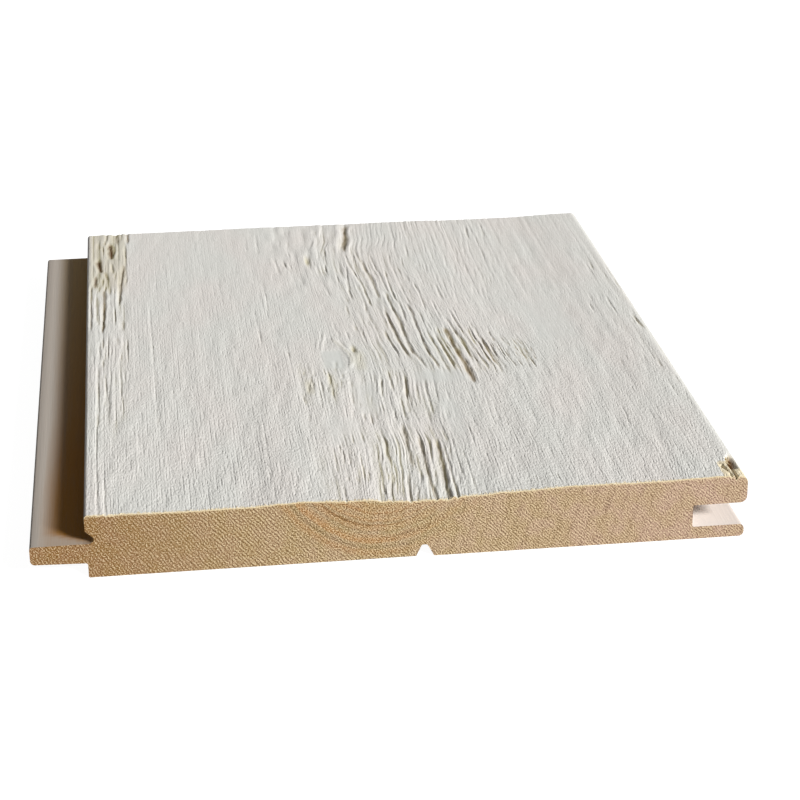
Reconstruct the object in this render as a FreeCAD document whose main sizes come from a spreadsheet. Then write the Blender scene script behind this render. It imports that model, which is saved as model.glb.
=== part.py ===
import FreeCAD, Part
import Sketcher
import math
import os

# Tongue and groove board: a short length of planed and moulded softwood, lying on its back.
# Lengths are in millimetres. The origin is at the bottom centre of the whole board, tongue included.
# +X runs from the tongue to the groove, +Y along the grain away from the viewer, and +Z up.

# Each size that can be set by itself. Heights are measured up from the board's back.
BOARD_SIZES = {
    # The board as sold
    "board_length": 232.0,
    "board_thickness": 18.0,
    "face_width": 175.5,
    # Tongue
    "tongue_reach": 14.5,
    "tongue_top": 9.7,
    "tongue_root_bottom": 4.15,
    "tongue_tip_taper": 0.4,
    "tongue_top_round": 0.9,
    "tongue_bottom_round": 1.3,
    "lower_shoulder_setback": 0.3,
    "lower_root_round": 0.5,
    # Undercut pocket above the tongue
    "shoulder_bottom": 13.3,
    "pocket_height": 10.8,
    "pocket_depth": 2.7,
    "pocket_floor_setback": 1.2,
    "pocket_round": 0.9,
    # Fit of a neighbour's tongue in the groove
    "fit_gap_above": 0.2,
    "fit_gap_below": 0.6,
    "fit_gap_end": 0.2,
    # Groove and its two lips
    "groove_corner_round": 0.5,
    "upper_lip_mouth_round": 1.9,
    "lower_lip_setback": 0.5,
    "lower_lip_round": 1.4,
    # Edges of the face
    "tongue_side_edge_round": 1.0,
    "groove_side_edge_round": 2.4,
    "back_edge_round": 0.3,
    # Shallow hollow brushed along the face where the grain is torn: its width and depth at the front end, and how
    # far back it runs out
    "hollow_width": 70.0,
    "hollow_depth": 1.55,
    "hollow_offset": 2.0,
    "hollow_run": 140.0,
    # Walls of the torn grooves: how far each lies over for each millimetre that it rises
    "torn_left_wall": 1.4,
    "torn_right_wall": 0.6,
    # Corner that split away at the groove's side: from the lip's end, its depth, its reach along and its left wall
    "chip_inset": 2.2,
    "chip_depth": 2.2,
    "chip_reach": 15.0,
    "chip_wall": 1.8,
    # Relief groove in the back
    "relief_width": 4.7,
    "relief_depth": 3.4,
    "relief_top_width": 1.5,
    "relief_top_round": 0.6,
    "relief_offset": 0.75,
}

# The main grooves torn out of the face, straight and run out at both ends. Each is set off across from the shoulder
# or from the middle of the face, and its middle stands in from the front or the back end. Then come its length along
# the grain and its depth below the unbrushed face.
TORN_GROOVES = {
    "strip_back": ("shoulder", 8.0, "back", 20.0, 26.0, 1.0),
    "strip_middle": ("shoulder", 5.8, "front", 152.0, 40.0, 0.9),
    "centre_back": ("face_centre", 1.3, "back", 16.0, 44.0, 1.2),
    "centre_long": ("face_centre", 10.3, "front", 124.0, 78.0, 1.4),
    "patch_left": ("face_centre", 16.3, "front", 100.0, 56.0, 1.4),
    "patch_deep": ("face_centre", 24.9, "front", 96.0, 46.0, 1.6),
    "patch_right": ("face_centre", 34.4, "front", 101.0, 32.0, 1.2),
    "front_left": ("face_centre", -1.0, "front", 14.0, 74.0, 2.5),
    "front_deep": ("face_centre", 7.9, "front", 10.0, 70.0, 2.8),
}
for groove_name, (line, offset, end, inset, length, depth) in TORN_GROOVES.items():
    BOARD_SIZES[groove_name + "_offset"] = offset
    BOARD_SIZES[groove_name + "_inset"] = inset
    BOARD_SIZES[groove_name + "_length"] = length
    BOARD_SIZES[groove_name + "_depth"] = depth

# Places across the board, worked out from the sizes
TONGUE_TIP = "-(sizes.face_width + sizes.tongue_reach) / 2"
SHOULDER = "(sizes.tongue_reach - sizes.face_width) / 2"
LIP_END = "(sizes.face_width + sizes.tongue_reach) / 2"
FACE_CENTRE = "sizes.tongue_reach / 2"
RELIEF_CENTRE = FACE_CENTRE + " + sizes.relief_offset"
HOLLOW_CENTRE = FACE_CENTRE + " + sizes.hollow_offset"
LOWER_SHOULDER = SHOULDER + " + sizes.lower_shoulder_setback"
LOWER_LIP_END = LIP_END + " - sizes.lower_lip_setback"
GROOVE_WALL = LIP_END + " - sizes.tongue_reach - sizes.fit_gap_end"

# The lines that the torn grooves are set off from
LINES_ALONG = {"shoulder": SHOULDER, "face_centre": FACE_CENTRE}

# Distances along the grain, from the middle of the board towards the front end
FRONT_END = "sizes.board_length / 2"
BACK_END = "-sizes.board_length / 2"

# Heights above the back
BACK = "0"
FACE = "sizes.board_thickness"
GROOVE_TOP = "sizes.tongue_top + sizes.fit_gap_above"
GROOVE_BOTTOM = "sizes.tongue_root_bottom - sizes.fit_gap_below"

HOLLOW_RADIUS = "(sizes.hollow_width ^ 2 / 4 + sizes.hollow_depth ^ 2) / (2 * sizes.hollow_depth)"
HOLLOW_TILT = "atan(sizes.hollow_depth / sizes.hollow_run)"

# A scoop's cutting point stands this far above the face, clear of the wood
ABOVE_FACE = 1.0

# How closely an edge has to lie on a corner of an outline to be that corner's edge
SAME_PLACE = 1e-4


def write_sheet(document):
    """Put each size in its own cell, under its own name."""
    sheet = document.addObject("Spreadsheet::Sheet", "sizes")
    for row, (name, value) in enumerate(BOARD_SIZES.items(), start=1):
        sheet.set("A" + str(row), name)
        sheet.set("B" + str(row), str(value))
        sheet.setAlias("B" + str(row), name)
    document.recompute()
    return sheet


def section_sketch(body, name):
    """Start a sketch on the body's own upright plane across the grain."""
    sketch = body.newObject("Sketcher::SketchObject", name)
    for plane in body.Origin.OriginFeatures:
        if plane.Role == "XZ_Plane":
            sketch.AttachmentSupport = [(plane, "")]
    sketch.MapMode = "FlatFace"
    return sketch


def fix_point(sketch, geometry, point, corner, across, up):
    """Tie a point of the sketch to its place, given as two expressions."""
    for direction, expression in (("DistanceX", across), ("DistanceY", up)):
        constraint = sketch.addConstraint(Sketcher.Constraint(direction, -1, 1, geometry, point, 1.0))
        name = corner + ("_across" if direction == "DistanceX" else "_up")
        sketch.renameConstraint(constraint, name)
        sketch.setExpression("Constraints." + name, expression)


def outline(body, name, corners):
    """Draw a closed outline through named corners and return its sketch."""
    sketch = section_sketch(body, name)
    turn = 2 * math.pi / len(corners)
    rough = [FreeCAD.Vector(math.cos(turn * i), math.sin(turn * i), 0) for i in range(len(corners))]
    for i in range(len(corners)):
        sketch.addGeometry(Part.LineSegment(rough[i], rough[(i + 1) % len(corners)]), False)
    for i, (corner, across, up) in enumerate(corners):
        sketch.addConstraint(Sketcher.Constraint("Coincident", i - 1 if i else len(corners) - 1, 2, i, 1))
        fix_point(sketch, i, 1, corner, across, up)
    body.Document.recompute()
    return sketch


def along_grain(body, kind, name, sketch):
    """Carry a section through the whole length, half each way from the middle."""
    feature = body.newObject(kind, name)
    feature.Profile = sketch
    feature.setExpression("Length", "sizes.board_length")
    feature.Midplane = True
    sketch.Visibility = False
    body.Document.recompute()
    return feature


def cut(body, name, sketch):
    """Cut a section away along the grain, and make sure that wood was removed."""
    before = body.Shape.Volume
    along_grain(body, "PartDesign::Pocket", name, sketch)
    if not body.Shape.Volume < before:
        raise RuntimeError(name + " removes no wood")


def corner_edge(shape, sketch, corner):
    """Find the long edge of the board that stands on a named corner of an outline."""
    across = sketch.getDatum(corner + "_across").Value
    up = sketch.getDatum(corner + "_up").Value
    for number, edge in enumerate(shape.Edges, start=1):
        ends = [vertex.Point for vertex in edge.Vertexes]
        if len(ends) == 2 and all(math.hypot(end.x - across, end.z - up) < SAME_PLACE for end in ends):
            return "Edge" + str(number)
    raise RuntimeError("No edge at " + corner)


def round_edges(body, name, radius, corners):
    """Round the long edges at named corners, each given with its sketch."""
    base = body.Tip
    edges = [corner_edge(base.Shape, sketch, corner) for sketch, corner in corners]
    fillet = body.newObject("PartDesign::Fillet", name)
    fillet.Base = (base, edges)
    fillet.setExpression("Radius", radius)
    body.Document.recompute()


def make_board(document):
    """Plane the blank, mould its two edges and its back, then ease the long edges."""
    body = document.addObject("PartDesign::Body", "board")
    body.Label = "board"
    body.Placement = FreeCAD.Placement()

    blank = outline(body, "blank_section", [
        ("back_left", TONGUE_TIP, BACK),
        ("back_right", LIP_END, BACK),
        ("face_right", LIP_END, FACE),
        ("face_left", TONGUE_TIP, FACE),
    ])
    along_grain(body, "PartDesign::Pad", "blank", blank)

    above = outline(body, "above_tongue_section", [
        ("shoulder_top", SHOULDER, FACE),
        ("shoulder_foot", SHOULDER, "sizes.shoulder_bottom"),
        ("pocket_back", SHOULDER + " + sizes.pocket_depth", "sizes.pocket_height"),
        ("tongue_top_root", SHOULDER + " + sizes.pocket_floor_setback", "sizes.tongue_top"),
        ("tongue_top_tip", TONGUE_TIP, "sizes.tongue_top"),
        ("blank_top", TONGUE_TIP, FACE),
    ])
    cut(body, "above_tongue", above)

    below = outline(body, "below_tongue_section", [
        ("tongue_bottom_tip", TONGUE_TIP, "sizes.tongue_root_bottom + sizes.tongue_tip_taper"),
        ("tongue_bottom_root", LOWER_SHOULDER, "sizes.tongue_root_bottom"),
        ("lower_shoulder_foot", LOWER_SHOULDER, BACK),
        ("blank_bottom", TONGUE_TIP, BACK),
    ])
    cut(body, "below_tongue", below)

    groove = outline(body, "groove_section", [
        ("mouth_top", LIP_END, GROOVE_TOP),
        ("wall_top", GROOVE_WALL, GROOVE_TOP),
        ("wall_bottom", GROOVE_WALL, GROOVE_BOTTOM),
        ("mouth_bottom", LOWER_LIP_END, GROOVE_BOTTOM),
        ("lower_lip_foot", LOWER_LIP_END, BACK),
        ("blank_foot", LIP_END, BACK),
    ])
    cut(body, "groove", groove)

    relief = outline(body, "relief_section", [
        ("mouth_left", RELIEF_CENTRE + " - sizes.relief_width / 2", BACK),
        ("top_left", RELIEF_CENTRE + " - sizes.relief_top_width / 2", "sizes.relief_depth"),
        ("top_right", RELIEF_CENTRE + " + sizes.relief_top_width / 2", "sizes.relief_depth"),
        ("mouth_right", RELIEF_CENTRE + " + sizes.relief_width / 2", BACK),
    ])
    cut(body, "relief", relief)

    round_edges(body, "tongue_side_edge", "sizes.tongue_side_edge_round", [(above, "shoulder_top")])
    round_edges(body, "pocket_back_round", "sizes.pocket_round", [(above, "pocket_back")])
    round_edges(body, "tongue_top_edge", "sizes.tongue_top_round", [(above, "tongue_top_tip")])
    round_edges(body, "tongue_bottom_edge", "sizes.tongue_bottom_round", [(below, "tongue_bottom_tip")])
    round_edges(body, "lower_root", "sizes.lower_root_round", [(below, "tongue_bottom_root")])
    round_edges(body, "groove_side_edge", "sizes.groove_side_edge_round", [(blank, "face_right")])
    round_edges(body, "upper_lip_mouth", "sizes.upper_lip_mouth_round", [(groove, "mouth_top")])
    round_edges(body, "groove_corners", "sizes.groove_corner_round",
                [(groove, "wall_top"), (groove, "wall_bottom")])
    round_edges(body, "lower_lip", "sizes.lower_lip_round",
                [(groove, "mouth_bottom"), (groove, "lower_lip_foot")])
    round_edges(body, "relief_top", "sizes.relief_top_round", [(relief, "top_left"), (relief, "top_right")])
    round_edges(body, "back_edges", "sizes.back_edge_round",
                [(below, "lower_shoulder_foot"), (relief, "mouth_left"), (relief, "mouth_right")])

    # The hollow's section stands at the front end and leans back, so that its round tool climbs out of the face
    hollow = section_sketch(body, "hollow_section")
    hollow.setExpression(".AttachmentOffset.Base.z", FRONT_END)
    hollow.setExpression(".AttachmentOffset.Base.y", FACE + " - sizes.hollow_depth")
    hollow.AttachmentOffset.Rotation.Axis = FreeCAD.Vector(1, 0, 0)
    hollow.setExpression(".AttachmentOffset.Rotation.Angle", HOLLOW_TILT)
    hollow.addGeometry(Part.Circle(FreeCAD.Vector(0, 2, 0), FreeCAD.Vector(0, 0, 1), 1), False)
    fix_point(hollow, 0, 3, "hollow_axis", HOLLOW_CENTRE, HOLLOW_RADIUS)
    hollow.addConstraint(Sketcher.Constraint("Radius", 0, 1.0))
    hollow.renameConstraint(hollow.ConstraintCount - 1, "hollow_radius")
    hollow.setExpression("Constraints.hollow_radius", HOLLOW_RADIUS)
    document.recompute()
    before = body.Shape.Volume
    face_hollow = along_grain(body, "PartDesign::Pocket", "face_hollow", hollow)
    face_hollow.setExpression("Length", "2 * sizes.board_length")
    document.recompute()
    if not body.Shape.Volume < before:
        raise RuntimeError("face_hollow removes no wood")

    for name, (line, offset, end, inset, length, depth) in TORN_GROOVES.items():
        size = "sizes." + name
        forward = {"front": FRONT_END + " - " + size + "_inset", "back": BACK_END + " + " + size + "_inset"}[end]
        scoop(body, name, LINES_ALONG[line] + " + " + size + "_offset", forward, size + "_length", size + "_depth",
              "sizes.torn_left_wall", "sizes.torn_right_wall")
    scoop(body, "corner_chip", LIP_END + " - sizes.chip_inset", FRONT_END, "2 * sizes.chip_reach",
          "sizes.chip_depth", "sizes.chip_wall", "sizes.chip_wall")
    return body


def scoop(body, name, across, forward, length, depth, left_wall, right_wall):
    """Tear a groove out of the face: a V turned about a line high above the board, so it runs out at both ends.
    Its middle lies forward of the middle of the board."""
    before = body.Shape.Volume
    sketch = section_sketch(body, name + "_section")
    sketch.setExpression(".AttachmentOffset.Base.z", forward)
    high = "(" + depth + " + " + str(ABOVE_FACE) + ")"
    corners = [
        (name + "_bottom", across, FACE + " - " + depth),
        (name + "_right", across + " + " + high + " * " + right_wall, FACE + " + " + str(ABOVE_FACE)),
        (name + "_left", across + " - " + high + " * " + left_wall, FACE + " + " + str(ABOVE_FACE)),
    ]
    points = [FreeCAD.Vector(0, -1, 0), FreeCAD.Vector(1, 1, 0), FreeCAD.Vector(-1, 1, 0)]
    for i in range(3):
        sketch.addGeometry(Part.LineSegment(points[i], points[(i + 1) % 3]), False)
    for i, (corner, at, up) in enumerate(corners):
        sketch.addConstraint(Sketcher.Constraint("Coincident", i - 1 if i else 2, 2, i, 1))
        fix_point(sketch, i, 1, corner, at, up)
    # The line that it turns about, as far above the bottom of the groove as gives the groove its length
    turning = "((" + length + ") ^ 2 / 4 + (" + depth + ") ^ 2) / (2 * " + depth + ")"
    axis = sketch.addGeometry(Part.LineSegment(FreeCAD.Vector(-5, 20, 0), FreeCAD.Vector(5, 20, 0)), True)
    height = FACE + " - " + depth + " + " + turning
    fix_point(sketch, axis, 1, name + "_axis_left", across + " - 5", height)
    fix_point(sketch, axis, 2, name + "_axis_right", across + " + 5", height)
    body.Document.recompute()
    groove = body.newObject("PartDesign::Groove", name)
    groove.Profile = sketch
    groove.ReferenceAxis = (sketch, ["Axis0"])
    groove.Angle = 360.0
    sketch.Visibility = False
    body.Document.recompute()
    if not body.Shape.Volume < before:
        raise RuntimeError(name + " removes no wood")


def check(document, bodies):
    """Stop if a feature failed, or a piece isn't one good solid."""
    for item in document.Objects:
        if "Invalid" in item.State or "Error" in item.State:
            raise RuntimeError(item.Name + " failed: " + ", ".join(item.State))
    for body in bodies:
        shape = body.Shape
        if shape.isNull() or not shape.isValid() or len(shape.Solids) != 1:
            raise RuntimeError(body.Label + " isn't one good solid")


document = FreeCAD.newDocument("tongue_and_groove_board")
write_sheet(document)
pieces = [make_board(document)]
document.recompute()
check(document, pieces)

os.makedirs("parts", exist_ok=True)
for piece in pieces:
    piece.Shape.exportStep(os.path.join("parts", piece.Label + ".step"))
    box = piece.Shape.BoundBox
    print(piece.Label, "x", round(box.XMin, 3), round(box.XMax, 3), "y", round(box.YMin, 3),
          round(box.YMax, 3), "z", round(box.ZMin, 3), round(box.ZMax, 3),
          "volume", round(piece.Shape.Volume, 1), "faces", len(piece.Shape.Faces))
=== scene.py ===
import math

import bmesh
import bpy
import numpy as np
from mathutils import Matrix, Vector


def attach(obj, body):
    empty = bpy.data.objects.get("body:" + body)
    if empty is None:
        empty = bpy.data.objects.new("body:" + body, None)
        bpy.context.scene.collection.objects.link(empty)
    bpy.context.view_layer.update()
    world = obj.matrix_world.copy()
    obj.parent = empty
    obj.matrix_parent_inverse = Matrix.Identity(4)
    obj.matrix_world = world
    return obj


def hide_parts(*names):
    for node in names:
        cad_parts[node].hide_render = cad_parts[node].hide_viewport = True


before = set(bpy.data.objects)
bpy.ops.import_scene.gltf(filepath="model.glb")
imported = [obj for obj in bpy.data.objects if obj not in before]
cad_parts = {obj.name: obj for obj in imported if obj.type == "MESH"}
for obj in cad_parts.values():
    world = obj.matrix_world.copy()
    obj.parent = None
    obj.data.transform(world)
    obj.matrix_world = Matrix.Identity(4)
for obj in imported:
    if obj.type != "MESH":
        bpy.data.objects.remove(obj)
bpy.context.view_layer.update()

# Tongue and groove board: softwood, brushed until the grain stands out, painted white, sawn to a short length.
# The board lies along Y, with its tongue towards -X and its painted face up. MM turns millimetres to metres.
MM = 0.001
FRONT = -116.0
BACK = 116.0
FACE_TOP = 18.0
TONGUE_EDGE = -80.5
GROOVE_EDGE = 95.0


# Rows and columns of the relief

ROWS = 140
ROW_CROWDING = 0.20
FINE_COLUMN = 0.222
COARSE_COLUMN = 0.42
# Stretches across the face, in millimetres, that are torn and need fine columns
TORN_STRETCHES = ((-80.5, -66.0), (-14.0, 56.0), (85.0, 95.0))


def smooth(t):
    """An even ramp from 0 to 1, flat at both ends."""
    t = np.clip(t, 0.0, 1.0)
    return t * t * (3.0 - 2.0 * t)


def ramp(value, low, high):
    """0 at low, 1 at high."""
    return smooth((value - low) / (high - low))


def end_outline(node):
    """The outline of the board's back end, where the face is whole: a ring of (across, up) in millimetres, read
    from the CAD node."""
    shape = bmesh.new()
    shape.from_mesh(node.data)
    bmesh.ops.remove_doubles(shape, verts=shape.verts, dist=1e-6)
    back = max(v.co.y for v in shape.verts)
    end = {f for f in shape.faces if all(abs(v.co.y - back) < 1e-6 for v in f.verts)}
    rim = [e for e in shape.edges if sum(f in end for f in e.link_faces) == 1]
    beside = {}
    for edge in rim:
        a, b = edge.verts
        beside.setdefault(a, []).append(b)
        beside.setdefault(b, []).append(a)
    start = rim[0].verts[0]
    ring = [start, beside[start][0]]
    while True:
        ahead = [v for v in beside[ring[-1]] if v is not ring[-2]][0]
        if ahead is start:
            break
        ring.append(ahead)
    points = np.array([(v.co.x / MM, v.co.z / MM) for v in ring])
    shape.free()
    area = np.sum(points[:, 0] * np.roll(points[:, 1], -1) - points[:, 1] * np.roll(points[:, 0], -1))
    return points if area < 0 else points[::-1]


def split_outline(ring):
    """The painted face's line from the tongue's side to the groove's side, and the rest from there round to it."""
    high = ring[:, 1] > 14.0
    left = min((i for i in range(len(ring)) if high[i]), key=lambda i: (round(ring[i, 0], 2), -ring[i, 1]))
    right = max((i for i in range(len(ring)) if high[i]), key=lambda i: (round(ring[i, 0], 2), ring[i, 1]))
    turned = np.roll(ring, -left, axis=0)
    count = (right - left) % len(ring)
    line = turned[: count + 1]
    # The CAD's own torn grooves are left out of it, because the relief brings its own
    rounded = (line[:, 0] < TONGUE_EDGE + 3.0) | (line[:, 0] > GROOVE_EDGE - 3.0)
    line = line[rounded | (line[:, 1] > FACE_TOP - 0.01)]
    return line, np.vstack([turned[count:], turned[:1]])


def face_columns(line):
    """Points along the face's line, close together where the face is torn."""
    steps = np.hypot(*np.diff(line, axis=0).T)
    run = np.concatenate([[0.0], np.cumsum(steps)])
    along = np.linspace(0.0, run[-1], 4000)
    across = np.interp(along, run, line[:, 0])
    spacing = np.full_like(across, COARSE_COLUMN)
    for low, high in TORN_STRETCHES:
        spacing[(across >= low) & (across <= high)] = FINE_COLUMN
    density = np.cumsum(np.concatenate([[0.0], np.diff(along) / spacing[1:]]))
    count = int(density[-1])
    places = np.interp(np.linspace(0.0, density[-1], count), density, along)
    return np.column_stack([np.interp(places, run, line[:, 0]), np.interp(places, run, line[:, 1])])


def rest_columns(line):
    """The rest of the outline, thinned on its rounds and divided across the top of the tongue."""
    kept = [line[0]]
    for before, point, after in zip(line[:-2], line[1:-1], line[2:]):
        turn = abs(np.cross(point - before, after - point)) / (
            np.hypot(*(point - before)) * np.hypot(*(after - point))
        )
        if turn > 0.5 or np.hypot(*(point - kept[-1])) > 0.33:
            kept.append(point)
    kept.append(line[-1])
    divided = [kept[0]]
    for before, after in zip(kept[:-1], kept[1:]):
        wide = np.hypot(*(after - before))
        on_tongue = min(before[0], after[0]) < -82.0 and min(before[1], after[1]) > 9.0
        pieces = max(1, int(wide / 2.0)) if on_tongue else 1
        for k in range(1, pieces + 1):
            divided.append(before + (after - before) * k / pieces)
    return np.array(divided)


# Random fields for the wood's surface

def lattice(seed):
    """A table of random heights from 0 to 1."""
    return np.random.default_rng(seed).random((512, 512))


def staggered_noise(across, along, wide, long, seed):
    """Smooth random streaks from 0 to 1, wide by long in millimetres, whose ends don't line up."""
    table = lattice(seed)
    shift = np.random.default_rng(seed + 7).random(512) * 512.0
    u = across / wide + 256.0
    column = np.floor(u).astype(int)
    blend = smooth(u - column)
    height = 0.0
    for step, weight in ((0, 1.0 - blend), (1, blend)):
        c = (column + step) % 512
        v = along / long + shift[c]
        row = np.floor(v).astype(int)
        f = smooth(v - row)
        height = height + weight * (table[c, row % 512] * (1.0 - f) + table[c, (row + 1) % 512] * f)
    return height


def scores(across, along, pitch, long, seed):
    """Straight scratches along the grain, one to each pitch: each slopes down gently to a steep wall on its right,
    and comes and goes over long millimetres."""
    place = across / pitch + 300.0
    lane = np.floor(place).astype(int)
    rng = np.random.default_rng(seed)
    wall = (0.55 + 0.33 * rng.random(1024))[lane % 1024]
    from_wall = place - lane - wall
    profile = np.clip(np.minimum(1.0 + from_wall / 0.36, 1.0 - from_wall / 0.20), 0.0, 1.0)
    table = rng.random((1024, 64))
    v = along / long + (rng.random(1024) * 64.0)[lane % 1024]
    row = np.floor(v).astype(int)
    f = smooth(v - row)
    strength = table[lane % 1024, row % 64] * (1.0 - f) + table[lane % 1024, (row + 1) % 64] * f
    return profile * smooth((strength - 0.3) / 0.45)


def wander(along, long, seed):
    """A random line from -1 to 1 that changes over long millimetres."""
    table = np.random.default_rng(seed).random(1024) * 2.0 - 1.0
    v = along / long + 512.0
    row = np.floor(v).astype(int)
    f = smooth(v - row)
    return table[row % 1024] * (1.0 - f) + table[(row + 1) % 1024] * f


def patch(across, along, middle, half, soft):
    """1 inside a patch of the face, falling to 0 over soft millimetres outside it."""
    dx = np.maximum(np.abs(across - middle[0]) - half[0], 0.0) / soft[0]
    dy = np.maximum(np.abs(along - middle[1]) - half[1], 0.0) / soft[1]
    return 1.0 - smooth(np.hypot(dx, dy))


# Grooves torn out of the face. Each has its width and depth in millimetres, how bare the wood is in it from 0 to 1,
# and its course as (across, along) points from the back of the board to the front.
LEFT_STRIP = (
    (2.2, 2.6, 1.00, ((-73.0, 107), (-72.8, 96), (-72.4, 88))),
    (2.2, 0.8, 0.40, ((-70.7, 118), (-70.9, 103))),
    (1.4, 1.2, 0.65, ((-66.8, 118), (-66.8, 104))),
    (1.2, 1.1, 0.40, ((-75.3, 106), (-75.1, 90))),
    (2.0, 2.2, 1.00, ((-77.0, 90), (-76.6, 83), (-75.6, 74))),
    (1.4, 1.0, 0.40, ((-75.0, 78), (-73.8, 66))),
    (1.6, 1.4, 0.85, ((-77.8, 73), (-78.0, 59))),
    (1.3, 0.8, 0.25, ((-72.4, 86), (-71.9, 72))),
    (1.5, 1.4, 0.70, ((-75.2, 60), (-75.0, 40), (-75.6, 16))),
    (1.6, 1.2, 0.55, ((-68.4, 84), (-69.2, 66), (-70.3, 42))),
    (0.9, 0.6, 0.15, ((-67.6, 105), (-67.6, 60))),
    (1.0, 0.8, 0.45, ((-79.3, 64), (-79.2, 18))),
    (0.9, 0.7, 0.20, ((-77.6, 54), (-77.4, 24))),
    (1.0, 1.0, 0.85, ((-75.4, 27), (-75.4, 17))),
    (0.9, 0.8, 0.30, ((-71.6, 42), (-71.4, 22))),
    (1.2, 1.0, 0.20, ((-69.0, 118), (-69.0, 107))),
    (1.0, 0.8, 0.30, ((-73.9, 118), (-74.1, 107))),
    (0.8, 0.7, 0.25, ((-76.3, 13), (-76.3, -7))),
    (0.7, 0.5, 0.15, ((-67.9, 13), (-67.9, -12))),
    (0.9, 0.7, 0.20, ((-73.6, 16), (-73.9, -8))),
    (0.8, 0.5, 0.10, ((-76.9, -10), (-76.8, -50))),
    (0.8, 0.5, 0.10, ((-75.0, -15), (-74.2, -42))),
    (0.8, 0.5, 0.05, ((-72.6, 12), (-73.6, -40))),
    (0.6, 0.4, 0.00, ((-70.3, -10), (-69.6, -54))),
    (0.8, 0.6, 0.15, ((-77.1, -50), (-77.5, -77), (-76.9, -118))),
    (0.7, 0.5, 0.05, ((-75.3, -88), (-74.9, -118))),
)
CENTRE_GROOVES = (
    (3.0, 2.2, 0.62, ((9.8, 115.9), (9.5, 111), (9.0, 104), (8.4, 98), (7.4, 91), (7.1, 84))),
    (0.9, 0.8, 0.20, ((7.2, 86), (7.6, 73), (8.6, 60), (9.0, 52))),
    (0.9, 0.8, 0.20, ((10.8, 90), (11.4, 80), (11.8, 70))),
    (0.9, 0.7, 0.15, ((6.4, 73), (6.4, 68), (5.7, 59), (5.2, 52), (5.4, 49), (4.8, 45), (5.4, 35))),
    (1.0, 0.9, 0.20, ((8.4, 70), (8.9, 59), (9.8, 50), (10.0, 40), (10.2, 34), (10.7, 28))),
    (1.3, 1.1, 0.35, ((11.6, 79), (12.3, 72), (12.3, 66), (13.2, 61), (13.6, 50), (13.6, 42), (13.9, 35))),
    (0.9, 0.8, 0.20, ((18.8, 65), (18.6, 50), (18.9, 36), (19.8, 31), (19.8, 22), (19.5, 12))),
    (1.3, 1.3, 0.30, ((16.4, 44), (16.6, 33), (17.3, 22), (17.7, 13), (17.7, 4), (18.0, -5), (18.2, -12),
                      (19.8, -18), (21.0, -28))),
    (1.2, 1.1, 0.40, ((14.3, 27), (14.5, 15), (15.0, 6), (15.3, -1), (16.4, -12), (16.8, -16), (16.0, -18))),
    (1.2, 1.2, 0.45, ((21.8, 32), (22.5, 22), (22.5, 8), (22.7, -7), (23.2, -16), (24.3, -23), (24.5, -30))),
    (0.7, 0.6, 0.10, ((25.2, 25), (25.2, 8))),
    (0.8, 0.7, 0.20, ((25.5, 1), (25.9, -8))),
    (0.9, 0.7, 0.15, ((26.8, 52), (27.3, 40), (27.3, 21))),
    (0.9, 0.6, 0.15, ((33.6, 50), (34.1, 30))),
    (1.0, 0.9, 0.30, ((11.8, 9), (12.7, -3), (13.4, -10), (14.0, -18))),
    (0.8, 0.7, 0.25, ((2.5, 33), (2.5, 21))),
    (0.8, 0.6, 0.10, ((8.8, 33), (8.2, 23))),
    (0.7, 0.5, 0.10, ((7.3, 19), (7.7, 10))),
    (1.0, 0.9, 0.10, ((-18.0, 84), (-17.0, 77), (-16.6, 68), (-16.0, 61))),
    (0.8, 0.8, 0.10, ((-14.6, 80), (-14.0, 74), (-13.2, 68))),
    (0.7, 0.7, 0.10, ((-12.6, 77), (-12.0, 69))),
    (0.8, 0.7, 0.10, ((-12.2, 88), (-11.4, 80))),
    (0.8, 0.6, 0.15, ((0.5, 92), (0.4, 78))),
    (0.6, 0.4, 0.05, ((2.0, 93), (2.0, 87))),
    (0.8, 0.6, 0.15, ((-0.6, 76), (-0.6, 62))),
    (0.8, 0.5, 0.10, ((2.3, 64), (2.3, 51))),
    (0.7, 0.4, 0.05, ((36.0, 28), (36.6, 8))),
    (0.7, 0.4, 0.05, ((30.4, 34), (30.9, 12))),
    (0.8, 0.5, 0.10, ((4.6, 12), (5.6, -6))),
    (0.7, 0.4, 0.05, ((15.6, 84), (16.2, 60))),
)
TORN_PATCH = (
    (1.2, 1.0, 0.35, ((27.0, 2), (27.7, -6), (28.4, -16), (29.1, -23), (28.9, -28))),
    (2.0, 1.7, 0.75, ((30.6, 8), (31.1, 0), (31.4, -9), (32.0, -17), (32.5, -23), (32.7, -31), (33.2, -41))),
    (1.0, 0.8, 0.30, ((32.2, 18), (33.4, 6), (34.6, -3), (35.0, -12), (35.6, -24))),
    (1.0, 0.8, 0.25, ((34.6, 24), (35.4, 10), (36.2, 1), (37.2, -12), (38.8, -25), (39.3, -31))),
    (0.6, 0.4, 0.25, ((38.0, 3), (38.4, -10))),
    (0.9, 0.7, 0.60, ((41.1, -1), (41.3, -16), (42.0, -28))),
    (0.6, 0.4, 0.40, ((42.9, -6), (43.4, -24))),
    (0.6, 0.5, 0.35, ((45.2, -4), (45.6, -16), (46.0, -23))),
    (0.5, 0.4, 0.35, ((47.0, -12), (47.2, -19))),
    (0.6, 0.5, 0.35, ((51.2, -14), (51.6, -20), (52.0, -26))),
    (0.6, 0.6, 0.35, ((52.9, -20), (53.4, -27), (53.6, -31))),
    (0.5, 0.4, 0.30, ((51.6, -26), (52.0, -31))),
    (0.5, 0.4, 0.30, ((49.4, -14), (49.6, -24))),
    (0.5, 0.4, 0.25, ((44.0, 4), (44.4, -4))),
    (0.7, 0.6, 0.30, ((39.6, -3), (40.2, -19), (40.4, -27))),
    (0.6, 0.5, 0.20, ((33.2, 14), (33.6, 2))),
)
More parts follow.
